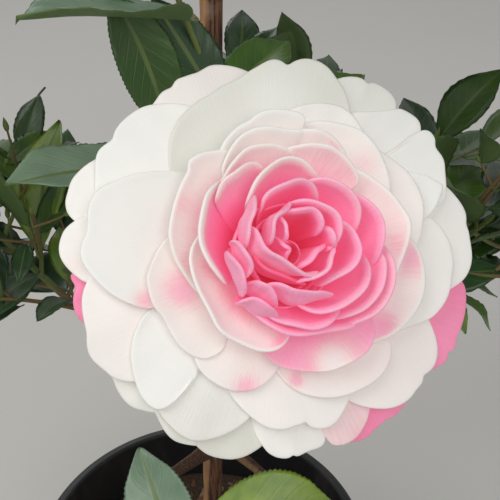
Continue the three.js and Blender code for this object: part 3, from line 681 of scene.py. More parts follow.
class Signal:
    """A socket in a sum: each operator adds its Math node."""

    def __init__(self, finish, output):
        self.finish = finish
        self.output = output

    def sum(self, operation, *terms):
        return self.finish.node("ShaderNodeMath", {"operation": operation}, dict(enumerate(terms)))

    def __add__(self, other):
        return self.sum("ADD", self, other)

    def __sub__(self, other):
        return self.sum("SUBTRACT", self, other)

    def __mul__(self, other):
        return self.sum("MULTIPLY", self, other)

    def __rsub__(self, other):
        return self.sum("SUBTRACT", other, self)

    __radd__ = __add__
    __rmul__ = __mul__


class Finish:
    """A material with one Principled surface."""

    def __init__(self, name):
        self.material = bpy.data.materials.new(name)
        self.material.use_nodes = True
        self.tree = self.material.node_tree
        self.tree.nodes.clear()

    def node(self, kind, settings=None, inputs=None, result=0):
        made = self.tree.nodes.new(kind)
        for name, value in (settings or {}).items():
            if name == "stops":
                for stop, (place, colour) in zip(self.stops(made.color_ramp, len(value)), value):
                    stop.position = place
                    stop.color = (*colour, 1)
            else:
                setattr(made, name, value)
        for name, value in (inputs or {}).items():
            if isinstance(value, Signal):
                self.tree.links.new(value.output, made.inputs[name])
            else:
                made.inputs[name].default_value = value
        return Signal(self, made.outputs[result])

    @staticmethod
    def stops(ramp, count):
        while len(ramp.elements) < count:
            ramp.elements.new(0.5)
        return ramp.elements

    def mix(self, share, first, second):
        """A colour between two colours or links."""
        pair = [value if isinstance(value, Signal) else (*value, 1) for value in (first, second)]
        return self.node("ShaderNodeMix", {"data_type": "RGBA"}, {0: share, 6: pair[0], 7: pair[1]}, 2)

    def place(self, stretch):
        """The place on the object in metres, stretched."""
        seen = self.node("ShaderNodeTexCoord", result=3)
        return self.node("ShaderNodeVectorMath", {"operation": "MULTIPLY"}, {0: seen, 1: stretch})

    def grain(self, scale, detail, stretch=(1, 1, 1), at=None):
        """Noise from 0 to 1, its scale in cells a metre."""
        vector = self.place(stretch) if at is None else at
        return self.node("ShaderNodeTexNoise", {}, {"Vector": vector, "Scale": scale, "Detail": detail})

    def band(self, value, low, high, to_low=0, to_high=1):
        """A value brought from one range to another, and kept in it."""
        steps = {0: value, 1: low, 2: high, 3: to_low, 4: to_high}
        return self.node("ShaderNodeMapRange", {"interpolation_type": "SMOOTHSTEP"}, steps)

    def mark(self, name):
        """The three numbers that a mesh keeps at its points."""
        kept = self.node("ShaderNodeAttribute", {"attribute_name": name}, result=1)
        split = self.node("ShaderNodeSeparateXYZ", {}, {0: kept}).output.node
        return [Signal(self, output) for output in split.outputs]

    def bump(self, height, distance, strength):
        """Fine relief on the surface, its distance in metres."""
        inputs = {"Height": height, "Distance": distance, "Strength": strength}
        return self.node("ShaderNodeBump", {}, inputs)

    def surface(self, **sockets):
        inputs = {name.replace("_", " "): value for name, value in sockets.items()}
        shader = self.node("ShaderNodeBsdfPrincipled", {}, inputs)
        output = self.tree.nodes.new("ShaderNodeOutputMaterial")
        self.tree.links.new(shader.output, output.inputs["Surface"])
        return self.material


# Finishes


def bark_finish(name, shade):
    """Smooth tan on the left side and dark brown fibres on the rest, all of it darkened by a shade."""
    finish = Finish(name)
    side = finish.mark("side")[0]
    fibres = finish.grain(900, 4, (1, 1, 0.06))
    flecks = finish.grain(260, 4, (1, 1, 0.25))
    # The side that faces +x turns dark brown and fibrous and the side that faces -x smooth tan, by the way
    # each point faces
    dark_side = finish.band(side + (flecks - 0.5) * 0.9, -0.75, -0.1)
    tan = finish.mix(fibres, (0.36, 0.17, 0.07), (0.6, 0.34, 0.17))
    dark = finish.mix(finish.band(fibres, 0.35, 0.68), (0.045, 0.02, 0.012), (0.23, 0.1, 0.05))
    colour = finish.mix(dark_side, tan, dark)
    pale = finish.band(finish.grain(60, 5), 0.6, 0.75, 0, 0.5)
    colour = finish.mix(shade, finish.mix(pale, colour, (0.42, 0.33, 0.25)), (0.03, 0.018, 0.012))
    height = fibres * (0.3 + dark_side) + flecks * 0.5
    return finish.surface(
        Base_Color=colour,
        Roughness=0.62 + dark_side * 0.25,
        Normal=finish.bump(height, 0.0006, 0.8),
    )


def twig_finish():
    """Brown fibres that turn green in places."""
    finish = Finish("twig_bark")
    fibres = finish.grain(1100, 3)
    colour = finish.mix(fibres, (0.12, 0.07, 0.03), (0.3, 0.22, 0.09))
    green = finish.band(finish.grain(30, 2), 0.45, 0.62, 0, 0.8)
    colour = finish.mix(green, colour, (0.15, 0.22, 0.05))
    return finish.surface(Base_Color=colour, Roughness=0.6, Normal=finish.bump(fibres, 0.0003, 0.6))


def leaf_finish(name, low, high, vein, gloss):
    """The upper side of a leaf: waxy, with pale side veins between its midrib and its rim."""
    finish = Finish(name)
    along, across, tone = finish.mark("leaf")
    reach = finish.node("ShaderNodeMath", {"operation": "ABSOLUTE"}, {0: across})
    cloud = finish.grain(55, 3)
    colour = finish.mix(finish.band(cloud * 0.7 + tone * 0.45, 0.3, 0.8), low, high)
    slant = (along * 8.5 - reach * 2.4) * 2 * math.pi
    wave = finish.node("ShaderNodeMath", {"operation": "SINE"}, {0: slant})
    veins = finish.band(wave, 0.8, 1.0) * finish.band(reach, 0.02, 0.12) * finish.band(reach, 0.95, 0.6)
    colour = finish.mix(veins * 0.12, colour, vein)
    skin = finish.grain(1400, 2)
    height = skin * 0.25 - veins * 0.6 + cloud * 0.6
    return finish.surface(
        Base_Color=colour,
        Roughness=gloss + skin * 0.14,
        IOR=1.5,
        Coat_Weight=0.5,
        Coat_Roughness=0.3,
        Normal=finish.bump(height, 0.0005, 0.5),
    )


def plain_leaf_finish(name, low, high, rough):
    """A soft surface, cloudy between two colours."""
    finish = Finish(name)
    colour = finish.mix(finish.grain(90, 3), low, high)
    return finish.surface(Base_Color=colour, Roughness=rough)


# Petal colours, from a grey white that is painted shade, through white and pinks to coral, whose deepest
# stop is partly painted shade down in the cup; and a faint painted glow, an emission that stands in for
# the light that shines through the petals and lifts their shade
PETAL_COLOURS = [
    (0.0, (0.68, 0.68, 0.6)),
    (0.1, (0.88, 0.88, 0.85)),
    (0.21, (0.9, 0.79, 0.76)),
    (0.37, (0.92, 0.55, 0.62)),
    (0.55, (0.91, 0.4, 0.58)),
    (0.78, (0.86, 0.2, 0.38)),
    (1.0, (0.7, 0.06, 0.13)),
]
PETAL_PAINTED_GLOWS = [
    (0.0, (0.13, 0.125, 0.115)),
    (0.35, (0.17, 0.09, 0.1)),
    (0.6, (0.31, 0.075, 0.14)),
    (1.0, (0.32, 0.02, 0.045)),
]


def petal_finish():
    """Satin white that turns through pale and warm pink to coral, by the mark kept at each point."""
    finish = Finish("petal")
    along, across, pink = finish.mark("petal")
    lines = finish.node("ShaderNodeCombineXYZ", {}, {0: along * 0.35, 1: across * 2.2, 2: pink * 0.5})
    streaks = finish.grain(14, 4, at=lines)
    cloud = finish.grain(70, 3)
    tinted = finish.band(pink, 0.02, 0.22) * finish.band(pink, 0.85, 0.45)
    blush = pink + (streaks - 0.5) * 0.26 * tinted + (cloud - 0.5) * 0.3 * tinted
    colour = finish.node("ShaderNodeValToRGB", {"stops": PETAL_COLOURS}, {0: blush * 0.9 + 0.1})
    # An emission that is painted light: it stands in for the light that shines through the petals, and
    # lifts the shade in the cup and between them
    painted_glow = finish.node("ShaderNodeValToRGB", {"stops": PETAL_PAINTED_GLOWS}, {0: blush})
    return finish.surface(
        Base_Color=colour,
        Roughness=0.45 + streaks * 0.1,
        Subsurface_Weight=0.12,
        Subsurface_Radius=(1.0, 0.8, 0.75),
        Subsurface_Scale=0.001,
        Sheen_Weight=0.15,
        Sheen_Roughness=0.4,
        Emission_Color=painted_glow,
        Emission_Strength=0.5,
        Normal=finish.bump(streaks, 0.0003, 0.3),
    )


def pot_finish():
    """Black plastic with a little dust and scuffs."""
    finish = Finish("black_plastic")
    fine = finish.grain(900, 3)
    scuffs = finish.grain(40, 6, (1, 1, 0.3))
    dust = finish.band(scuffs, 0.52, 0.8)
    colour = finish.mix(dust * 0.4, (0.014, 0.015, 0.017), (0.09, 0.085, 0.075))
    return finish.surface(
        Base_Color=colour,
        Roughness=0.4 + dust * 0.25 + fine * 0.08,
        Normal=finish.bump(fine * 0.5 + scuffs * 0.5, 0.0004, 0.35),
    )


def mix_finish(name, low, high):
    """Rough bark, grained between two browns."""
    finish = Finish(name)
    grains = finish.grain(420, 5)
    colour = finish.mix(grains, low, high)
    return finish.surface(Base_Color=colour, Roughness=0.9, Normal=finish.bump(grains, 0.0015, 0.9))


def floor_finish():
    finish = Finish("floor")
    colour = finish.mix(finish.grain(3, 2), (0.62, 0.61, 0.58), (0.66, 0.65, 0.62))
    return finish.surface(Base_Color=colour, Roughness=0.8)


# Pot and potting mix


def wall_radius(height):
    """The outer radius of the pot's plain wall."""
    return lerp(POT_BASE_RADIUS, POT_RIM_RADIUS - RIM_ROLL, height / POT_HEIGHT)


def rounded(profile, radius, steps=4):
    """A profile whose inner corners are rounded off."""
    profile = np.asarray(profile, float)
    made = [profile[0]]
    for before, corner, after in zip(profile, profile[1:], profile[2:]):
        into = before - corner
        out = after - corner
        cut = min(radius, np.linalg.norm(into) * 0.45, np.linalg.norm(out) * 0.45)
        start = corner + unit(into) * cut
        end = corner + unit(out) * cut
        for step in range(steps + 1):
            share = step / steps
            made.append(lerp(lerp(start, corner, share), lerp(corner, end, share), share))
    made.append(profile[-1])
    return np.array(made)


def lathe(shape, profile, sides):
    """A round body whose profile gives radii and heights."""
    turns = turns_round(sides)
    rings = np.stack([
        np.outer(profile[:, 0], np.cos(turns)),
        np.outer(profile[:, 0], np.sin(turns)),
        np.repeat(profile[:, 1:2], sides, axis=1),
    ], axis=-1)
    shape.add(rings, ring_faces(len(profile), sides)[:, ::-1])


def make_pot(finish):
    """The pot from the middle of its underside up its wall, over its collar and rim, and down inside."""
    foot = POT_HEIGHT - RIM_DEPTH
    collar = foot - COLLAR_DEPTH
    profile = [
        (0.5, 0.6),
        (POT_BASE_RADIUS - 9, 0.6),
        (POT_BASE_RADIUS - 7, 0),
        (POT_BASE_RADIUS - 1, 0),
        (POT_BASE_RADIUS, RIM_BEVEL),
        (wall_radius(FOOT_BAND), FOOT_BAND),
        (wall_radius(FOOT_BAND + RIM_BEVEL) + WALL_SWELL, FOOT_BAND + RIM_BEVEL),
        (wall_radius(collar - RIM_BEVEL) + WALL_SWELL, collar - RIM_BEVEL),
        (wall_radius(collar) + COLLAR_SWELL, collar),
        (wall_radius(foot) + COLLAR_SWELL, foot),
        (POT_RIM_RADIUS - 0.6, foot + 0.3),
        (POT_RIM_RADIUS, foot + 3),
        (POT_RIM_RADIUS, POT_HEIGHT - 3),
        (POT_RIM_RADIUS - RIM_BEVEL, POT_HEIGHT),
        (wall_radius(POT_HEIGHT) - POT_WALL + 1, POT_HEIGHT),
        (wall_radius(POT_HEIGHT) - POT_WALL, POT_HEIGHT - RIM_BEVEL),
        (wall_radius(POT_FLOOR) - POT_WALL, POT_FLOOR),
        (0.5, POT_FLOOR),
    ]
    shape = Shape()
    lathe(shape, rounded(profile, 1.8), 160)
    shape.piece("pot_shell", [finish], "pot", "pot")


def mix_height(x, y):
    """The lumpy top of the mix at a place, lower towards the pot's wall."""
    radius = math.hypot(x, y)
    level = MIX_TOP - 0.3 - 5.5 * smooth(26, 92, radius)
    lumps = noise.noise(Vector((x * 0.045, y * 0.045, 3.1))) * 2.6
    lumps += noise.noise(Vector((x * 0.14, y * 0.14, 7.7))) * 1.8
    return level - 1.6 + lumps * (1 - 0.6 * smooth(60, 100, radius))


def make_mix(finishes):
    """The bed of mix that fills the pot, and the bark chips strewn over it."""
    bed = Shape()
    pin = 0.4
    edge = wall_radius(MIX_TOP - 8) - POT_WALL - CLEARANCE
    turns = turns_round(MIX_SIDES)
    grid = []
    for radius in np.linspace(pin, edge, MIX_RINGS):
        ring = [(radius * math.cos(turn), radius * math.sin(turn)) for turn in turns]
        grid.append([(x, y, mix_height(x, y)) for x, y in ring])
    foot = POT_FLOOR + CLEARANCE
    for radius in (wall_radius(foot) - POT_WALL - CLEARANCE, pin):
        grid.append([(radius * math.cos(turn), radius * math.sin(turn), foot) for turn in turns])
    bed.add(np.array(grid), ring_faces(len(grid), MIX_SIDES))
    bed.piece("mix_bed", finishes[:1], "potting_mix", "potting_mix")
    following = seeded_stream(CHIP_SEED)
    chips = Shape()
    for _ in range(CHIPS_SOWN):
        radius = CHIPS_REACH * math.sqrt(following())
        turn = following() * 2 * math.pi
        x, y = radius * math.cos(turn), radius * math.sin(turn)
        size = CHIP_SIZE + CHIP_SIZE_MORE * following() ** 2.2
        finish = int(following() * 3)
        at_trunk = math.hypot(x - FOOT_X, y) < CHIPS_FROM_TRUNK + size
        if at_trunk or radius + size > CHIPS_REACH + 1:
            following()
            continue
        add_chip(chips, np.array([x, y, mix_height(x, y) + size * 0.12]), size, following, finish)
    chips.piece("bark_chips", finishes[1:], "potting_mix", smooth_faces=False)


def add_chip(shape, centre, size, following, finish):
    """A flat irregular flake with bevelled edges."""
    spin = following() * 2 * math.pi
    tip = np.array([following() - 0.5, following() - 0.5, 1.1])
    over = unit(tip)
    across, along = square_to(over)
    outline = []
    for turn in spin + turns_round(CHIP_SIDES):
        reach = size * (0.75 + 0.4 * following())
        outline.append(across * math.cos(turn) * reach + along * math.sin(turn) * reach * 0.55)
    outline = np.array(outline)
    thick = over * size * 0.14
    rings = [outline * 0.82 - thick, outline - thick * 0.3, outline + thick * 0.4, outline * 0.8 + thick]
    points = centre + np.concatenate(rings)
    shape.add(points, ring_faces(len(rings), CHIP_SIDES)[:, ::-1], finish)
    shape.add(points[:CHIP_SIDES], [list(range(CHIP_SIDES))[::-1]], finish)
    shape.add(points[-CHIP_SIDES:], [list(range(CHIP_SIDES))], finish)


# Trunk and boughs


def trunk_at(height):
    return np.array([FOOT_X + LEAN * (height - MIX_TOP), 1.2 * math.sin(height / 70), height])


def trunk_radius(height):
    return lerp(TRUNK_FOOT_RADIUS, TRUNK_TOP_RADIUS, (height - MIX_TOP) / (TRUNK_TOP - MIX_TOP))


def bark_relief(depth, lobes=False):
    """Fibrous ridges along a limb, deeper on its dark side, with the lobes of the root flare."""

    def relief(centre, outs, radius):
        raised = []
        for out in outs:
            place = Vector((centre + out * radius).tolist())
            fibres = noise.noise(Vector((out[0] * 5.5, out[1] * 5.5, place.z * 0.035)))
            fine = noise.noise(Vector((out[0] * 13, out[1] * 13, place.z * 0.06 + 9)))
            knots = noise.noise(Vector((out[0] * 0.9, out[1] * 0.9, place.z * 0.05 + 4)))
            dark_side = smooth(-0.7, 0.1, out[0] + 0.5 * knots)
            ridges = (fibres * 0.9 + fine * 0.6) * (0.35 + 0.65 * dark_side)
            raised.append(depth * (ridges + knots * 0.8 - 0.25 * (1 - dark_side)))
        raised = np.array(raised)
        if lobes:
            shrink = 0.13 * math.exp(-(centre[2] - MIX_TOP) / FLARE_HEIGHT)
            turns = np.arctan2(outs[:, 1], outs[:, 0])
            raised = raised + radius * shrink * np.cos(FLARE_LOBES * turns)
        return raised

    return relief


def make_trunk(finish):
    """The trunk from a little under the mix, with its rings closer together round the root flare."""
    shape = Shape()
    flare = np.linspace(MIX_TOP - 3, 215, 40)
    heights = np.concatenate([flare, np.linspace(217, TRUNK_TOP - CLEARANCE, 190)])
    centres = [trunk_at(height) for height in heights]
    radii = [
        trunk_radius(height) + FLARE_RADIUS * math.exp(-max(height - MIX_TOP, 0) / FLARE_HEIGHT) - 0.2
        for height in heights
    ]
    tube(shape, centres, radii, 48, relief=bark_relief(0.55, lobes=True), level=True)
    shape.piece("trunk_bark", [finish], "bark", "trunk", mark="side")


class Route:
    """A bent way from a limb to an end: a quadratic Bezier curve."""

    def __init__(self, start, bend, end):
        self.start, self.bend, self.end = (np.asarray(point, float) for point in (start, bend, end))

    def point(self, share):
        back = 1 - share
        return back * back * self.start + 2 * back * share * self.bend + share * share * self.end

    def tangent(self, share):
        before = max(share - 0.0001, 0)
        after = min(share + 0.0001, 1)
        return unit(self.point(after) - self.point(before))


class Mass:
    """One mass of foliage: its centre, its spreads, and the way and foot radius of its bough."""

    def __init__(self, name, azimuth, reach, height, spread, rise, bough):
        self.name = name
        self.foot = min(BOUGH_FOOT_MOST, BOUGH_FOOT_LEAST + reach * BOUGH_FOOT_BY_REACH)
        self.spread = spread
        self.rise = rise
        around = math.radians(azimuth)
        self.centre = trunk_at(height) + reach * np.array([math.cos(around), math.sin(around), 0])
        start = trunk_at(bough)
        bend = lerp(start, self.centre, 0.5)
        bend[2] = lerp(start[2], self.centre[2], BOUGH_SAG)
        self.route = Route(start, bend, self.centre)

    def meet(self, others):
        """Notes the planes half way to the other masses, and where the route enters for good."""
        towards = np.array([other.centre - self.centre for other in others if other is not self])
        self.gaps = np.linalg.norm(towards, axis=1)
        self.ways = towards / self.gaps[:, None]
        entry = 1
        for step in range(100, 0, -1):
            if not self.holds(self.route.point(step / 100)[None])[0]:
                break
            entry = step / 100
        self.entry = min(max(entry, ENTRY_LEAST), ENTRY_MOST)

    def holds(self, points):
        offset = points - self.centre
        level = (offset[:, 0] ** 2 + offset[:, 1] ** 2) / self.spread**2
        inside = level + offset[:, 2] ** 2 / self.rise**2 <= 1
        return inside & (offset @ self.ways.T < self.gaps / 2 - CELL_MARGIN).all(axis=1)

    def bough_stations(self):
        return limb_stations(self.route, self.entry, self.foot)

    def stem_stations(self):
        start = self.route.point(self.entry) + self.route.tangent(self.entry) * (CLEARANCE + 0.1)
        stations = [(start, STEM_RADIUS)]
        for share in (0.35, 0.7, 1):
            centre = self.route.point(lerp(self.entry, 1, share))
            stations.append((centre, lerp(STEM_RADIUS, STEM_END_RADIUS, share)))
        return stations

    def outwards(self):
        away = self.centre - trunk_at(self.centre[2])
        away[2] = 0
        return unit(away)


def limb_stations(route, entry, foot, count=BOUGH_STATIONS):
    """Places and radii along a limb, with a collar at its foot."""
    stations = []
    for step in range(count + 1):
        share = step / count
        collar = 1 + (COLLAR - 1) * math.exp(-share * 9)
        stations.append((route.point(share * entry), lerp(foot, BOUGH_TIP_RADIUS, share) * collar))
    return stations


def make_bough(name, route, entry, foot, finish):
    """The bark of one bough."""
    centres, radii = zip(*limb_stations(route, entry, foot, BOUGH_RINGS))
    shape = Shape()
    tube(shape, centres, [radius - 0.1 for radius in radii], 20, relief=bark_relief(0.32))
    shape.piece(f"bark_{name}", [finish], "bark", f"bough_{name}", mark="side")


# Where a leaf may grow


class Limbs:
    """The limbs that twigs and leaves keep clear of."""

    def __init__(self, lines):
        starts, ends, keeps = [], [], []
        for stations in lines:
            for (start, first), (end, second) in zip(stations, stations[1:]):
                starts.append(start)
                ends.append(end)
                keeps.append(max(first, second) + LIMB_MARGIN)
        self.starts = np.array(starts)
        self.spans = np.array(ends) - self.starts
        self.squares = (self.spans**2).sum(axis=1)
        self.keeps = np.array(keeps)

    def clear(self, points):
        offset = points[:, None] - self.starts
        share = np.clip((offset * self.spans).sum(axis=2) / self.squares, 0, 1)
        distance = np.linalg.norm(offset - share[..., None] * self.spans, axis=2)
        return (distance >= self.keeps).all(axis=1)


def in_open_side(points):
    """Which points lie in the open side: in front of the bloom, or right behind it."""
    offset = points - OPEN_POINT
    ahead = offset[:, 1] * math.cos(OPEN_DROP) - offset[:, 2] * math.sin(OPEN_DROP)
    above = offset[:, 1] * math.sin(OPEN_DROP) + offset[:, 2] * math.cos(OPEN_DROP)
    right = offset[:, 0] / ahead
    up = above / ahead
    inside = (ahead >= 0) & (np.abs(right) <= OPEN_SPREAD) & (np.abs(up) <= OPEN_SPREAD)
    behind = (ahead > BEHIND_FROM) & (np.hypot(right - BEHIND_RIGHT, up - BEHIND_UP) < BEHIND_SPREAD)
    return inside & ~behind & ((points[:, 1] < 0) | (up < OPEN_BACK))


def fits(points, mass, limbs):
    """Which points lie in a mass, free of limbs, bloom and open side."""
    near = np.linalg.norm(points - RECEPTACLE, axis=1) < BLOOM_OUTER_RADIUS
    free = mass.holds(points) & ~in_open_side(points) & ~near
    if not free.any():
        return free
    return free & limbs.clear(points)


def room_along(start, direction, mass, limbs, most=260):
    """How far a line runs before it comes to a place that is taken."""
    free = fits(start + direction * np.arange(ROOM_STEP, most, ROOM_STEP)[:, None], mass, limbs)
    return ROOM_STEP * (len(free) if free.all() else int(np.argmin(free)))


# Leaves


class Leaf:
    """A leaf's place: its root, the way it grows, its frame and its size."""

    def __init__(self, root, along, face, length, width, tone="deep"):
        self.root = np.asarray(root, float)
        self.along = along
        self.across = unit(np.cross(along, face))
        self.up = unit(np.cross(self.across, along))
        self.length = length
        self.width = width
        self.tone = tone
        self.middle = self.root + along * length / 2

    def at(self, places):
        places = np.asarray(places, float)
        return (
            self.root
            + places[..., :1] * self.along * self.length
            + places[..., 1:2] * self.across * self.width / 2
            + places[..., 2:] * self.up * LEAF_FOLD * self.length
        )

    def cut_by(self, rim):
        """Whether a line of points passes through the blade."""
        offset = rim - self.root
        seen = np.stack([offset @ self.along, offset @ self.across, offset @ self.up], axis=1)
        start, end = seen[:-1], seen[1:]
        crosses = (start[:, 2] * end[:, 2] <= 0) & (start[:, 2] != end[:, 2])
        if not crosses.any():
            return False
        start, end = start[crosses], end[crosses]
        share = start[:, 2] / (start[:, 2] - end[:, 2])
        cut = start + (end - start) * share[:, None]
        return bool((np.hypot(cut[:, 0] / self.length - 0.5, cut[:, 1] / self.width) < 0.5).any())


# Places on a leaf, as shares of its length, half width and fold: those that have to be free, and its rim
LEAF_TESTS = [
    (0.2, 0, 0), (0.5, 0, -1), (0.8, 0, -0.5), (1, 0, 0), (0.33, 0.94, 0), (0.33, -0.94, 0),
    (0.68, 0.86, 0), (0.68, -0.86, 0), (0.5, 0.5, 0), (0.5, -0.5, 0), (0.84, 0.4, 0), (0.84, -0.4, 0),
]
LEAF_RIM = [
    (0.04, 0, 0), (0.33, 0.94, 0), (0.68, 0.86, 0), (1, 0, 0), (0.68, -0.86, 0), (0.33, -0.94, 0),
    (0.04, 0, 0), (1, 0, 0),
]


def pierces(leaf, other):
    """Whether one of two blades cuts through the other."""
    reach = (leaf.length + other.length) * 0.62
    if np.linalg.norm(leaf.middle - other.middle) > reach:
        return False
    return other.cut_by(leaf.at(LEAF_RIM)) or leaf.cut_by(other.at(LEAF_RIM))


def leaning(along, turn, lean, rise):
    """The way of a twig or leaf that leans out from a limb, turned round it, and rises."""
    across, over = square_to(along)
    direction = along * math.cos(lean)
    direction = direction + across * math.sin(lean) * math.cos(turn)
    direction = direction + over * math.sin(lean) * math.sin(turn)
    direction[2] += rise
    return unit(direction)


class Growth:
    """The twigs and leaves of one mass: the main ones first, then the finer ones between them."""

    def __init__(self, mass, limbs, seed):
        self.mass = mass
        self.limbs = limbs
        self.following = seeded_stream(seed)
        self.leaves = []
        self.twigs = []
        self.stem = mass.stem_stations()
        self.spacing = LEAF_SPACING

    def try_leaf(self, root, along, length):
        """Keeps the largest size of a leaf that fits in the mass and cuts through no other."""
        jitter = np.array([self.following() - 0.5, self.following() - 0.5, 0]) * LEAF_JITTER
        face = UP + along * 0.3 + jitter
        if abs(along[2]) > 0.85:
            face = face + self.mass.outwards() * 1.5
        for size in LEAF_SIZES:
            leaf = Leaf(root, along, face, length * size, length * size * LEAF_WIDTH)
            near = (np.linalg.norm(other.middle - leaf.middle) <= self.spacing for other in self.leaves)
            if any(near) or not fits(leaf.at(LEAF_TESTS), self.mass, self.limbs).all():
                continue
            if not any(pierces(leaf, other) for other in self.leaves):
                self.leaves.append(leaf)
                return

    def grow_leaves(self, start, along, length, most, step, lengths):
        """Leaves in a spiral from the tip of a twig backwards, each leaning out further."""
        phase = self.following() * 2 * math.pi
        for index in range(most):
            if index * step >= length:
                break
            lean = math.radians(LEAF_LEAN + LEAF_LEAN_MORE * index)
            way = leaning(along, phase + index * LEAF_TURN, lean, -LEAF_DROOP)
            root = start + along * (length - index * step - LEAF_INSET)
            self.try_leaf(root, way, lerp(*lengths, self.following()))

    def grow(self):
        """The main twigs, in a spiral along the stem, and the leaves at the stem's end."""
        mass = self.mass
        for index in range(TWIGS_PER_MASS):
            share = TWIG_FIRST + TWIG_RUN * (index + 0.5) / TWIGS_PER_MASS
            place = lerp(mass.entry, 1, share)
            start = mass.route.point(place)
            turn = index * GOLDEN_TURN + self.following() * TWIG_SWING
            lean = math.radians(lerp(*TWIG_LEAN, self.following()))
            direction = leaning(mass.route.tangent(place), turn, lean, TWIG_RISE)
            length = room_along(start, direction, mass, self.limbs) - LEAF_ROOM
            if length < TWIG_LEAST:
                continue
            self.twigs.append((start, start + direction * length, TWIG_RADIUS, TWIG_TIP_RADIUS))
            self.grow_leaves(start, direction, length, LEAVES_PER_TWIG, LEAF_STEP, LEAF_LENGTH)
        end = self.stem[-1][0]
        along = mass.route.tangent(1)
        self.grow_leaves(end - along * STEM_END, along, STEM_END, 3, LEAF_STEP, LEAF_LENGTH)

    def grow_finer(self, seed):
        """Sprigs from the twigs and the stem, with smaller leaves in the gaps."""
        self.following = seeded_stream(seed)
        self.spacing = SPRIG_SPACING
        mass = self.mass
        starts = []
        for start, end, _, _ in self.twigs:
            for share in SPRIG_SHARES:
                starts.append((lerp(start, end, share), unit(end - start)))
        for share in STEM_SPRIG_SHARES:
            place = lerp(mass.entry, 1, share)
            starts.append((mass.route.point(place), mass.route.tangent(place)))
        for index, (start, along) in enumerate(starts):
            turn = index * GOLDEN_TURN + self.following() * SPRIG_SWING
            lean = math.radians(lerp(*SPRIG_LEAN, self.following()))
            direction = leaning(along, turn, lean, SPRIG_RISE)
            wanted = lerp(*SPRIG_LENGTH, self.following())
            length = min(room_along(start, direction, mass, self.limbs, most=100) - SPRIG_ROOM, wanted)
            if length < SPRIG_LEAST:
                continue
            self.twigs.append((start, start + direction * length, SPRIG_RADIUS, SPRIG_TIP_RADIUS))
            self.grow_leaves(start, direction, length, 4, SPRIG_LEAF_STEP, SPRIG_LEAF_LENGTH)


def leaf_outline(places):
    """A leaf's half width along it: a short stalk, then an oval that ends in a drawn-out tip."""
    stalk = 0.035
    blade = np.clip((places - 0.07) / 0.93, 0, 1)
    oval = np.sin(math.pi * blade**0.92) ** 0.72 * (1 - 0.28 * smooth(0.72, 1.0, blade))
    return stalk * (1 - smooth(0.05, 0.2, places)) + oval * smooth(0.04, 0.11, places) + 0.004


def leaf_columns(count):
    """Places across a leaf, with a narrow strip in the middle for the midrib."""
    side = np.linspace(0.055, 1, count) ** 0.9
    return np.concatenate([side[::-1], -side])


def add_leaf(shape, leaf, grid_size, following, calm=1.0, bow=None):
    """One leaf, each a little different, with a sunk midrib and a toothed rim. A calm one bends less."""
    rows, columns = grid_size
    along = np.linspace(0, 1, rows + 1)
    across = leaf_columns(columns)
    half = leaf_outline(along) * leaf.width / 2
    teeth = np.where(np.arange(rows + 1) % 2 == 0, 1.0, 1 - LEAF_TOOTH)
    teeth[along < 0.16] = 1
    # How this leaf arches, curls down at its tip, lifts its sides, sways and twists
    arch = lerp(*LEAF_ARCH, following()) * calm
    curl = lerp(*LEAF_CURL, following()) * calm
    cup = lerp(*LEAF_CUP, following())
    sway = (following() - 0.5) * 0.14 * calm if bow is None else bow
    twist = (following() - 0.5) * 0.5 * calm
    reach = along[:, None]
    side = across[None, :] * half[:, None]
    out = np.abs(across)[None, :]
    side = np.where(out > 0.99, side * teeth[:, None], side)
    height = arch * 4 * reach * (1 - reach) - curl * smooth(0.55, 1, reach) ** 2 - arch * 0.6
    height = leaf.length * height + np.abs(side) * cup * (1 - 0.4 * reach)
    # Fine ripples between its side veins, and a slow wave along its rim
    ripple = np.sin((reach * 17 - out * 4.6) * math.pi)
    height = height + ripple * 0.22 * out * smooth(0.12, 0.3, reach) * smooth(1, 0.8, reach)
    wave = np.sin(reach * 2 * math.pi * 1.5 + following() * PHASES + across[None, :])
    height = height + wave * 0.045 * leaf.width * out**1.5
    height = height + side * np.tan(twist * (reach - 0.1)) * 0.6
    height = height * smooth(0.0, 0.12, reach)
    lateral = side + leaf.length * sway * reach * (1 - reach)
    grid = (
        leaf.root
        + reach[..., None] * leaf.length * leaf.along
        + lateral[..., None] * leaf.across
        + height[..., None] * leaf.up
    )
    tone = following()
    marks = np.stack(np.broadcast_arrays(reach, across[None, :], tone), axis=-1)
    midrib = len(TONES)
    front = np.full((rows, len(across) - 1), TONES.index(leaf.tone))
    front[:, columns - 1] = midrib
    front[:1] = midrib
    closed_sheet(shape, grid, LEAF_THICKNESS, front.ravel(), midrib + 1, marks, marks)


def add_bud(shape, tip, along, length, finish):
    """A slim pointed bud at the end of a twig."""
    shares = np.array([0, 0.12, 0.35, 0.6, 0.85, 1])
    radii = np.array([0.8, 1.25, 1.5, 1.2, 0.55, 0.08]) * length / 7
    tube(shape, tip + np.outer(shares * length, along), radii, 8, finish)


def deal_tones(leaves, following):
    """Deals the greens out leaf by leaf: most dark, some lighter, a few fresh."""
    for leaf in leaves:
        draw = following()
        leaf.tone = "deep" if draw < DEEP_SHARE else "mid" if draw < MID_SHARE else "fresh"
        if leaf.length < SHORT_LEAF and draw > SHORT_MID_SHARE:
            leaf.tone = "fresh"


def bent_twig(start, end, following):
    """A line from start to end that bows a little."""
    span = np.linalg.norm(end - start)
    across, over = square_to(unit(end - start))
    bow = across * (following() - 0.5) + over * (following() - 0.5)
    shares = np.linspace(0, 1, 7)
    return [lerp(start, end, share) + bow * span * 0.12 * math.sin(math.pi * share) for share in shares]


def leaf_from(root, tip, face, width, tone):
    """A leaf between two points."""
    reach = np.subtract(tip, root).astype(float)
    return Leaf(root, unit(reach), np.array(face, float), np.linalg.norm(reach), width, tone)


def nearest_on(line, point):
    """The point of a line of points that lies nearest to another."""
    best = np.asarray(line[0], float)
    for start, end in zip(line, line[1:]):
        span = end - start
        share = min(max(np.dot(point - start, span) / np.dot(span, span), 0), 1)
        near = start + span * share
        if np.linalg.norm(near - point) < np.linalg.norm(best - point):
            best = near
    return best


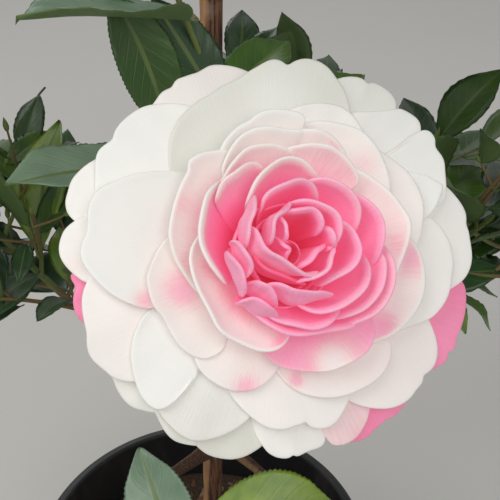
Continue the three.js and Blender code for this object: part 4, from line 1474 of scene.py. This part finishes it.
def add_front_leaf(blades, wood, leaf, line, following, bow=None):
    """A finely made leaf close to the bloom, and the short twig that joins it to a line."""
    add_leaf(blades, leaf, FRONT_LEAF_GRID, following, FRONT_LEAF_CALM, bow)
    twig = bent_twig(nearest_on(line, leaf.root), leaf.root + leaf.along, following)
    tube(wood, twig, np.linspace(TWIG_RADIUS, TWIG_TIP_RADIUS, len(twig)), 8)


def make_mass(mass, limbs, seed, leaf_finishes, twig_finishes):
    """The leaves of one mass, and its stem, twigs and buds."""
    growth = Growth(mass, limbs, seed)
    growth.grow()
    growth.grow_finer(seed + FINER_SEED)
    following = seeded_stream(seed + BEND_SEED)
    deal_tones(growth.leaves, following)
    blades = Shape()
    for leaf in growth.leaves:
        add_leaf(blades, leaf, LEAF_GRID, following)
    wood = Shape()
    stem = growth.stem
    route = [mass.route.point(lerp(mass.entry, 1, share)) for share in np.linspace(0, 1, 15)]
    route[0] = stem[0][0]
    tube(wood, route, np.linspace(STEM_RADIUS, STEM_END_RADIUS * 0.7, 15), 10, relief=bark_relief(0.15))
    for start, end, foot, tip in growth.twigs:
        line = bent_twig(start, end, following)
        tube(wood, line, np.linspace(foot * 1.1, tip, len(line)), 7)
        add_bud(wood, line[-1], unit(line[-1] - line[-2]), 5.5 + 3 * following(), 1)
    add_bud(wood, route[-1], mass.route.tangent(1), 9, 1)
    for row in FRONT_LEAVES.get(mass.name, []):
        add_front_leaf(blades, wood, leaf_from(*row), [centre for centre, _ in stem], following)
    node = f"foliage_{mass.name}"
    blades.piece(f"leaves_{mass.name}", leaf_finishes, "foliage", node, mark="leaf")
    wood.piece(f"twigs_{mass.name}", twig_finishes, "foliage", node, mark="side")


# Bloom

BLOOM_RIGHT = unit(np.array([1.0, 0, 0]) - BLOOM_AXIS * BLOOM_AXIS[0])
BLOOM_TOP = np.cross(BLOOM_AXIS, BLOOM_RIGHT)


def bloom_point(x, y, z):
    """Points by how far they lie along the bloom's right, top and axis."""
    return (
        RECEPTACLE
        + np.multiply.outer(np.asarray(x, float), BLOOM_RIGHT)
        + np.multiply.outer(np.asarray(y, float), BLOOM_TOP)
        + np.multiply.outer(np.asarray(z, float), BLOOM_AXIS)
    )


def line_lengths(places):
    """How far each place of a line is from its start, along the line."""
    return np.concatenate([[0], np.cumsum(np.linalg.norm(np.diff(places, axis=0), axis=1))])


def points_on(places, lengths, at):
    """The points of a line that are so far along it."""
    return np.stack([np.interp(at, lengths, places[:, axis]) for axis in (0, 1)], axis=1)


def smoothed(line, passes):
    """A line with its corners evened out and its ends kept."""
    line = line.copy()
    for _ in range(passes):
        line[1:-1] = (line[:-2] + 2 * line[1:-1] + line[2:]) / 4
    return line


def opened(along):
    """A petal's width along it, as a share of its full width."""
    return 0.3 + 0.7 * np.sin(math.pi / 2 * np.clip(along / 0.68, 0, 1))


def thinned(along, side, last, start):
    """How a petal's thickness runs out at its rim, over the last share of its length and at its sides."""
    return np.sqrt(1 - np.clip((along - start) / last, 0, 1) ** 2) * np.sqrt(1 - 0.999 * side**8)


def petal_sheet(shape, grid, thickness, along, lateral, pinks):
    """A petal's sheet, marked at each point with how far along and across it is, and how pink."""
    marks = [np.stack([np.broadcast_to(along, pink.shape), lateral * 0.1, pink], axis=-1) for pink in pinks]
    closed_sheet(shape, grid, thickness, 0, 0, *marks)


def add_whorl_petal(shape, whorl, petal, following):
    """One petal of a whorl: a narrow claw that widens, rises from the axis and wraps round it."""
    rows, columns = WHORL_GRID
    turn, reach, half, rise = petal
    claw_pink, tip_pink = whorl["pink"]
    out, up = whorl["claw"]
    share = np.concatenate([(1 - (1 - np.linspace(0, 1, rows + 1)[:-2]) ** 1.3) * 0.97, [0.988, 1.0]])
    across = np.sin(np.linspace(-1, 1, columns + 1) * math.pi / 2)
    along = share[:, None]
    side = across[None, :]
    # Its tip is rounded, notched and a little wavy
    notch = 0.03 * following() * np.exp(-(((side - (following() - 0.5) * 0.8) / 0.13) ** 2))
    waver = 0.012 * np.sin(side * 7 + following() * PHASES)
    waver = waver + 0.006 * np.sin(side * 17 + following() * PHASES)
    shoulder = 1 - np.sqrt(1 - 0.998 * side**2)
    run = along * (1 - whorl["round"] * shoulder - (notch + waver) * along)
    back = (1 - run) ** 2
    middle = 2 * run * (1 - run)
    radial = back * out + middle * reach * whorl["belly"] + run**2 * reach
    height = back * up + middle * whorl["lift"] + run**2 * rise
    lateral = side * (half * opened(along))
    wrap = whorl["wrap"]
    radial = radial - wrap * (1 - np.cos(lateral / wrap))
    tangential = wrap * np.sin(lateral / wrap)
    around = math.radians(turn + (following() - 0.5) * 2)
    x = radial * math.cos(around) - tangential * math.sin(around)
    y = radial * math.sin(around) + tangential * math.cos(around)
    grid = bloom_point(x, y, np.broadcast_to(height, x.shape))
    phase = following() * PHASES
    swell = whorl["tilt"] * side * along
    swell = swell + whorl["ruffle"] * along**3 * np.sin(side * (3.5 + 2 * following()) + phase)
    swell = swell + 0.25 * along * np.sin(along * 9 + side * 2 + phase)
    grid = grid + grid_normals(grid) * swell[..., None]
    pink = lerp(claw_pink, tip_pink, smooth(0.15, 0.95, along)) + 0 * side
    pink = pink - 0.1 * smooth(0.86, 1.0, along)
    thickness = PETAL_THICKNESS * thinned(along, side, 0.04, 0.96)
    petal_sheet(shape, grid, thickness, along, lateral, (pink, pink * BACK_PINK))


def smooth_line(places, count):
    """A smooth line through places, whose points lie closer together towards its ends."""
    places = np.array(places, float)
    lengths = line_lengths(places)
    at = (np.sin(np.linspace(-1, 1, count) * math.pi / 2) + 1) / 2 * lengths[-1]
    return smoothed(points_on(places, lengths, at), count // 8)


def seen_point(right, up, height):
    """Where the line of sight through a place on the cup meets a height on the bloom's axis."""
    across = np.outer(CUP_RIGHT + right, (1, 0, 0))
    sight = CUP_DEPTH * SIGHT_AHEAD + across + np.outer(CUP_UP + up, SIGHT_ABOVE)
    far = (RECEPTACLE - OPEN_POINT).dot(BLOOM_AXIS) + height
    return OPEN_POINT + sight * (far / sight.dot(BLOOM_AXIS))[:, None]


def seen_place(points):
    """Where points are seen, in a frame of 500 by 500."""
    reach = points - OPEN_POINT
    ahead = reach.dot(SIGHT_AHEAD)
    right = reach[..., 0] / ahead * CUP_DEPTH - CUP_RIGHT
    up = reach.dot(SIGHT_ABOVE) / ahead * CUP_DEPTH - CUP_UP
    return FRAME_MIDDLE[0] + right * FRAME_STEP, FRAME_MIDDLE[1] - up * FRAME_STEP


def even_line(places):
    """A line through places with points a step apart."""
    places = np.array(places, float)
    lengths = line_lengths(places)
    return points_on(places, lengths, np.linspace(0, lengths[-1], int(lengths[-1] / RIM_STEP) + 1))


def shouldered(line):
    """A line carried on round a shoulder at both ends, towards the claws."""
    for _ in range(2):
        heading = unit(line[-1] - line[-4])
        inward = unit(np.array(CLAWS_SEEN) - line[-1])
        shares = [(number + 1) / SHOULDER_POINTS for number in range(SHOULDER_POINTS)]
        turns = [unit(lerp(heading, inward, share)) for share in shares]
        line = np.concatenate([line, line[-1] + np.cumsum(turns, axis=0) * RIM_STEP])[::-1]
    return line


def petal_height(share, rise):
    """The height of a wide petal at a share of its reach: the outer ones arch, the inner ones rise."""
    claw = 0.25 * rise
    arch = lerp(5, -1, (rise - 4) / 21)
    return claw + (rise - claw) * share + arch * 4 * share * (1 - share)


def rim_on_petal(line, rise):
    """A rim as it is seen, laid on a wide petal: its places along the bloom's right and top."""
    right = (line[:, 0] - FRAME_MIDDLE[0]) / FRAME_STEP
    up = (FRAME_MIDDLE[1] - line[:, 1]) / FRAME_STEP
    heights = np.full(len(line), float(rise))
    for _ in range(4):
        rim = seen_point(right, up, heights) - RECEPTACLE
        rim = np.stack([rim.dot(BLOOM_RIGHT), rim.dot(BLOOM_TOP)], axis=1)
        reach = np.linalg.norm(rim, axis=1)
        heights = petal_height(reach / reach.max(), rise)
    return rim


def add_wide_petal(shape, petal, following):
    """One wide petal, from its claw out to the rim as it is seen."""
    rise, (claw_pink, tip_pink), places, *flushes = petal
    line = shouldered(even_line(places))
    rim, body = (rim_on_petal(smoothed(line, passes), rise) for passes in (RIM_PASSES, BODY_PASSES))
    most = np.linalg.norm(body, axis=1).max()
    side = np.linspace(-1, 1, len(line))
    outward = unit(rim.mean(axis=0))
    claw = outward * WIDE_CLAW_REACH + np.outer(side * WIDE_CLAW_HALF, (-outward[1], outward[0]))
    run = 1 - (1 - np.linspace(0, 1, 15)) ** 1.3
    along = np.concatenate([run[:-1] * 0.96, [0.96, 0.985, 0.995, 1.0]])[:, None]
    detail = smooth(0.72, 1.0, along)
    x, y = (lerp(claw[:, axis], lerp(body[:, axis], rim[:, axis], detail), along) for axis in (0, 1))
    grid = bloom_point(x, y, petal_height(np.hypot(x, y) / most, rise))
    # Its sides bend back, it dips before its rim and lifts at it, and ripples grow towards the rim
    phase = following() * PHASES
    swell = -0.5 * side**2 * along - 0.3 * smooth(0.6, 0.9, along) + 0.25 * smooth(0.93, 1.0, along)
    swell = swell + 0.35 * along**3 * np.sin(side * (3.5 + 2 * following()) + phase)
    swell = swell + 0.09 * along**4 * np.sin(side * (11 + 6 * following()) + phase)
    grid = grid + grid_normals(grid) * swell[..., None]
    # Pink from its claw out, with its flushes, and a pale line along the rim of an inner one
    pink = lerp(claw_pink, tip_pink, smooth(0.2, 0.95, along)) + 0 * side
    seen_x, seen_y = seen_place(grid)
    for flush_x, flush_y, size, depth in flushes:
        apart = (seen_x - flush_x) ** 2 + (seen_y - flush_y) ** 2
        pink = pink + depth * np.exp(-apart / size**2)
    lipped = rise >= LIPPED_FROM and tip_pink < 0.4
    # Pinks below 0 are kept, down to the tip's: a greyer white that is painted shade
    pink = np.maximum(pink, min(tip_pink, 0)) * (1 - 0.7 * lipped * smooth(0.955, 0.985, along))
    lateral = side * len(line) * 0.28 * opened(along)
    thickness = PETAL_THICKNESS + LIP_MORE * lipped * smooth(0.85, 0.96, along)
    thickness = thickness * thinned(along, side, 0.03, 0.97)
    petal_sheet(shape, grid, thickness, along, lateral, (pink, pink * BACK_PINK))


def add_cup_petal(shape, petal, following):
    """One petal of the cup: it rises from its claw, bulges, and ends in a thick rounded lip."""
    rows, columns = CUP_GRID
    rise, bulge, steep, (claw_pink, wall_pink, lip_pink), places = petal
    line = smooth_line(places, columns + 1)
    side = np.sin(np.linspace(-1, 1, columns + 1) * math.pi / 2)
    heights = rise - RIM_DROP * np.abs(side) ** 3 + 0.15 * np.sin(side * 5 + following() * PHASES)
    rim = seen_point(line[:, 0], line[:, 1], heights) - RECEPTACLE
    rim = np.stack([rim.dot(BLOOM_RIGHT), rim.dot(BLOOM_TOP), rim.dot(BLOOM_AXIS)], axis=1)
    middle = rim[:, :2].mean(axis=0)
    reach = np.linalg.norm(middle)
    outward = middle / reach
    # The rim starts a little inwards, as the lip then rolls out to where it is seen
    curl = LIP_ROLL * (1 - np.abs(side) ** 3)
    rim[:, :2] -= np.outer(curl, outward)
    around = np.array([-outward[1], outward[0]])
    spread = np.linalg.norm(np.diff(rim[:, :2], axis=0), axis=1).sum() / 2
    # Its claw near the axis, and its belly under the rim, which bulges most in the middle
    claw_reach = min(4.5, 0.4 * reach)
    claw_height = lerp(16, 9, min(reach / 20, 1))
    claw = np.empty_like(rim)
    claw[:, :2] = outward * claw_reach + np.outer(side * min(3.0, spread * 0.4), around)
    claw[:, 2] = claw_height
    belly = np.empty_like(rim)
    bulging = (reach - claw_reach) * (bulge - 1) * (1 - 0.35 * side**2)
    belly[:, :2] = rim[:, :2] + np.outer(bulging, outward)
    belly[:, :2] -= np.outer((rim[:, :2] - middle).dot(around) * 0.12, around)
    belly[:, 2] = claw_height + (heights - claw_height) * steep
    # From claw over belly to rim, with its corners rounded
    run = np.linspace(0, 1, rows + 1)
    along = np.concatenate([(1 - (1 - run[:-2]) ** 1.3) * 0.97, [0.985, 0.994, 1.0]])[:, None, None]
    place = along * (1 - 0.18 * (1 - np.sqrt(1 - 0.999 * side**2)))[None, :, None]
    bloom = (1 - place) ** 2 * claw + 2 * place * (1 - place) * belly + place**2 * rim
    grid = bloom_point(bloom[..., 0], bloom[..., 1], bloom[..., 2])
    along = along[..., 0] * np.ones_like(side)
    side = side[None, :]
    phase = following() * PHASES
    swell = 0.2 * along * np.sin(side * (4 + 3 * following()) + phase)
    swell = swell - curl * smooth(0.84, 1.0, along) ** 2
    grid = grid + grid_normals(grid) * swell[..., None]
    thickness = lerp(PETAL_THICKNESS, LIP_THICKNESS, smooth(0.82, 0.95, along))
    # From the deepest coral at the claw, partly painted shade down in the cup, through the wall to the lip
    pink = lerp(claw_pink, wall_pink, smooth(0.1, 0.75, along)) + 0 * side
    pink = lerp(pink, lerp(wall_pink, lip_pink, 0.4), smooth(0.7, 0.92, along))
    pink = lerp(pink, lip_pink, smooth(0.91, 0.95, along))
    back_pink = lerp(pink, lerp(wall_pink, lip_pink, 0.5), smooth(0.25, 0.65, along))
    thickness = thickness * thinned(along, side, 0.04, 0.96)
    petal_sheet(shape, grid, thickness, along, side * spread + 0 * along, (pink, back_pink))


def make_bloom(finish):
    """The wide petals, the whorls in the cup and the petals of the cup."""
    following = seeded_stream(BLOOM_SEED)
    outer, inner = Shape(), Shape()
    for petal in WIDE_PETALS:
        add_wide_petal(inner if petal[0] >= LIPPED_FROM else outer, petal, following)
    for whorl in WHORLS:
        for petal in whorl["petals"]:
            add_whorl_petal(inner, whorl, petal, following)
    for petal in CUP_PETALS:
        add_cup_petal(inner, petal, following)
    outer.piece("petals_outer", [finish], "petal", "bloom", mark="petal")
    inner.piece("petals_inner", [finish], "petal", "bloom", mark="petal")


# The calyx: heights and radii of its core, and of each tier of scales the foot, tip, reach and half width
CALYX_CORE = [(-9, 3.2), (-7.5, 4.6), (-6, 6), (-3.5, 7.4), (-1.2, 7.8)]
CALYX_TIERS = [(-8.6, -3.2, 7.6, 4.2), (-7.6, -1.0, 8.6, 4.8), (-6.4, 0.6, 9.2, 5.2)]
SCALES_PER_TIER = 5
SCALE_THICKNESS = 0.4


def make_calyx(finish):
    """Overlapping round scales that hold the petals' claws."""
    shape = Shape()
    following = seeded_stream(CALYX_SEED)
    heights, radii = zip(*CALYX_CORE)
    tube(shape, [bloom_point(0, 0, height) for height in heights], radii, 24)
    share = np.linspace(0, 1, 9)[:, None]
    side = np.linspace(-1, 1, 9)[None, :]
    unmarked = np.zeros((9, 9, 3))
    for tier, (foot, tip, reach, half) in enumerate(CALYX_TIERS):
        for number in range(SCALES_PER_TIER):
            around = (number + tier * 0.5) * 2 * math.pi / SCALES_PER_TIER + following() * 0.2
            run = share * (1 - 0.4 * np.abs(side) ** 2.2)
            radial = lerp(3.4, reach, np.sin(run * math.pi / 2)) + 0.15
            spread = half * (0.45 + 0.55 * np.sin(math.pi / 2 * np.clip(share / 0.6, 0, 1)))
            lateral = side * spread
            bend = np.maximum(radial, 3)
            x = radial * np.cos(around + lateral / bend)
            y = radial * np.sin(around + lateral / bend)
            scale = bloom_point(x, y, lerp(foot, tip, run) + 0 * side)[:, ::-1]
            closed_sheet(shape, scale, SCALE_THICKNESS, 0, 0, unmarked, unmarked)
    shape.piece("calyx_scales", [finish], "calyx", "calyx")


# The shoot that carries the bloom, and its sprig with the leaves over the bloom
SHOOT_ENTRY = 0.55
SHOOT_FOOT = 4.4
SHOOT_ROUTE = Route(trunk_at(436), (14, -112, 470), bloom_point(0, 0, -9 - CLEARANCE))
SPRIG_START = 0.3
SPRIG_PLACES = [(20, -102, 560), (8, -118, 604)]


def make_shoot(leaf_finishes, twig_finishes):
    """The shoot under the bloom, its sprig, and the leaves close round the bloom."""
    following = seeded_stream(SHOOT_SEED)
    blades, wood = Shape(), Shape()
    towards = SHOOT_ROUTE.tangent(SHOOT_ENTRY)
    line = [SHOOT_ROUTE.point(lerp(SHOOT_ENTRY, 1, share)) for share in np.linspace(0, 1, 18)]
    line[0] = line[0] + towards * (CLEARANCE + 0.1)
    tube(wood, line, np.linspace(STEM_RADIUS, 2.1, 18), 12, relief=bark_relief(0.15))
    sprig = [SHOOT_ROUTE.point(lerp(SHOOT_ENTRY, 1, SPRIG_START)), *np.array(SPRIG_PLACES, float)]
    bent = rounded(sprig, 14, 6)
    tube(wood, bent, np.linspace(TWIG_RADIUS * 1.2, TWIG_TIP_RADIUS, len(bent)), 9)
    add_bud(wood, bent[-1], unit(sprig[2] - sprig[1]), 9, 1)
    for *row, bow in BLOOM_LEAVES:
        add_front_leaf(blades, wood, leaf_from(*row), sprig, following, bow)
    blades.piece("leaves_bloom_shoot", leaf_finishes, "foliage", "foliage_bloom_shoot", mark="leaf")
    wood.piece("twigs_bloom_shoot", twig_finishes, "foliage", "foliage_bloom_shoot", mark="side")


# Making the plant

bark = bark_finish("bark", 0.0)
bough_bark = bark_finish("bough_bark", 0.6)
twig_bark = twig_finish()
bud_green = plain_leaf_finish("bud", (0.12, 0.2, 0.04), (0.25, 0.3, 0.08), 0.5)
leaf_finishes = [
    leaf_finish("leaf_deep", (0.018, 0.055, 0.02), (0.045, 0.11, 0.035), (0.12, 0.2, 0.09), 0.34),
    leaf_finish("leaf_mid", (0.03, 0.095, 0.01), (0.1, 0.2, 0.018), (0.2, 0.3, 0.07), 0.36),
    leaf_finish("leaf_fresh", (0.08, 0.2, 0.015), (0.29, 0.4, 0.035), (0.4, 0.5, 0.12), 0.36),
    # A pale grey-green that paints the sky's reflection on leaves seen at a slant: a painted sheen
    leaf_finish("leaf_silvery", (0.13, 0.22, 0.14), (0.24, 0.35, 0.23), (0.3, 0.42, 0.28), 0.36),
    plain_leaf_finish("leaf_midrib", (0.1, 0.16, 0.05), (0.16, 0.23, 0.07), 0.4),
    plain_leaf_finish("leaf_underside", (0.08, 0.14, 0.045), (0.12, 0.19, 0.06), 0.55),
]

masses = [Mass(*row) for row in MASSES]
for mass in masses:
    mass.meet(masses)
trunk_line = [(trunk_at(height), trunk_radius(height)) for height in (MIX_TOP, 260, 380, 500, TRUNK_TOP)]
shoot_line = limb_stations(SHOOT_ROUTE, SHOOT_ENTRY, SHOOT_FOOT)
limbs = Limbs([trunk_line, *(mass.bough_stations() for mass in masses), shoot_line])

make_pot(pot_finish())
make_mix([
    mix_finish("mix_fine", (0.03, 0.018, 0.01), (0.12, 0.075, 0.045)),
    mix_finish("chip_dark", (0.035, 0.018, 0.01), (0.1, 0.055, 0.03)),
    mix_finish("chip_red", (0.12, 0.05, 0.022), (0.24, 0.12, 0.06)),
    mix_finish("chip_pale", (0.2, 0.13, 0.07), (0.36, 0.25, 0.15)),
])
make_trunk(bark)
for seed, mass in enumerate(masses, MASS_SEED):
    make_bough(mass.name, mass.route, mass.entry, mass.foot, bough_bark)
    make_mass(mass, limbs, seed, leaf_finishes, [twig_bark, bud_green])
make_bough("bloom", SHOOT_ROUTE, SHOOT_ENTRY, SHOOT_FOOT, bark)
make_shoot(leaf_finishes, [twig_bark, bud_green])
make_calyx(plain_leaf_finish("calyx_green", (0.16, 0.26, 0.06), (0.36, 0.42, 0.14), 0.5))
make_bloom(petal_finish())


# Floor, light and camera, in metres

FLOOR_HALF = 6.0
SKY_COLOUR = (0.99, 0.99, 0.98, 1)
SKY_STRENGTH = 0.42
CAMERA_PLACE = (0.032, -0.3699, 0.6708)
CAMERA_TILT = math.radians(57)
CAMERA_LENS = 61.2
CAMERA_SENSOR = 36

# Soft round lamps: name, place, aim, size, power and colour
LAMPS = [
    ("overhead", (-0.8, -0.8, 2.0), (0, -0.1, 0.5), 1.3, 13, (1.0, 0.99, 0.97)),
    ("front_fill", (0.4, -1.3, 1.45), (0.03, -0.17, 0.54), 1.1, 6.5, (1.0, 0.99, 0.98)),
    ("back_rim", (-0.6, 1.7, 1.9), (0, 0, 0.5), 1.2, 7, (0.97, 0.99, 1.0)),
]


def make_floor():
    corners = [(-1, -1), (1, -1), (1, 1), (-1, 1)]
    mesh = bpy.data.meshes.new("floor")
    mesh.from_pydata([(x * FLOOR_HALF, y * FLOOR_HALF, 0) for x, y in corners], [], [[0, 1, 2, 3]])
    mesh.materials.append(floor_finish())
    floor = bpy.data.objects.new("floor", mesh)
    bpy.context.scene.collection.objects.link(floor)


def soft_lamp(name, place, aim, size, power, colour):
    """A round lamp that looks at a place."""
    lamp = bpy.data.lights.new(name, "AREA")
    lamp.shape = "DISK"
    lamp.size = size
    lamp.energy = power
    lamp.color = colour
    holder = bpy.data.objects.new(name, lamp)
    holder.location = place
    holder.rotation_euler = (Vector(aim) - Vector(place)).to_track_quat("-Z", "Y").to_euler()
    bpy.context.scene.collection.objects.link(holder)


make_floor()
world = bpy.data.worlds.new("studio")
world.use_nodes = True
sky = world.node_tree.nodes["Background"]
sky.inputs["Color"].default_value = SKY_COLOUR
sky.inputs["Strength"].default_value = SKY_STRENGTH
bpy.context.scene.world = world
for lamp in LAMPS:
    soft_lamp(*lamp)
bpy.context.scene.view_settings.view_transform = "Standard"

camera = bpy.data.cameras.new("camera")
camera.lens = CAMERA_LENS
camera.sensor_width = CAMERA_SENSOR
camera.clip_start = 0.01
holder = bpy.data.objects.new("camera", camera)
holder.location = CAMERA_PLACE
holder.rotation_euler = (CAMERA_TILT, 0, 0)
bpy.context.scene.collection.objects.link(holder)
bpy.context.scene.camera = holder
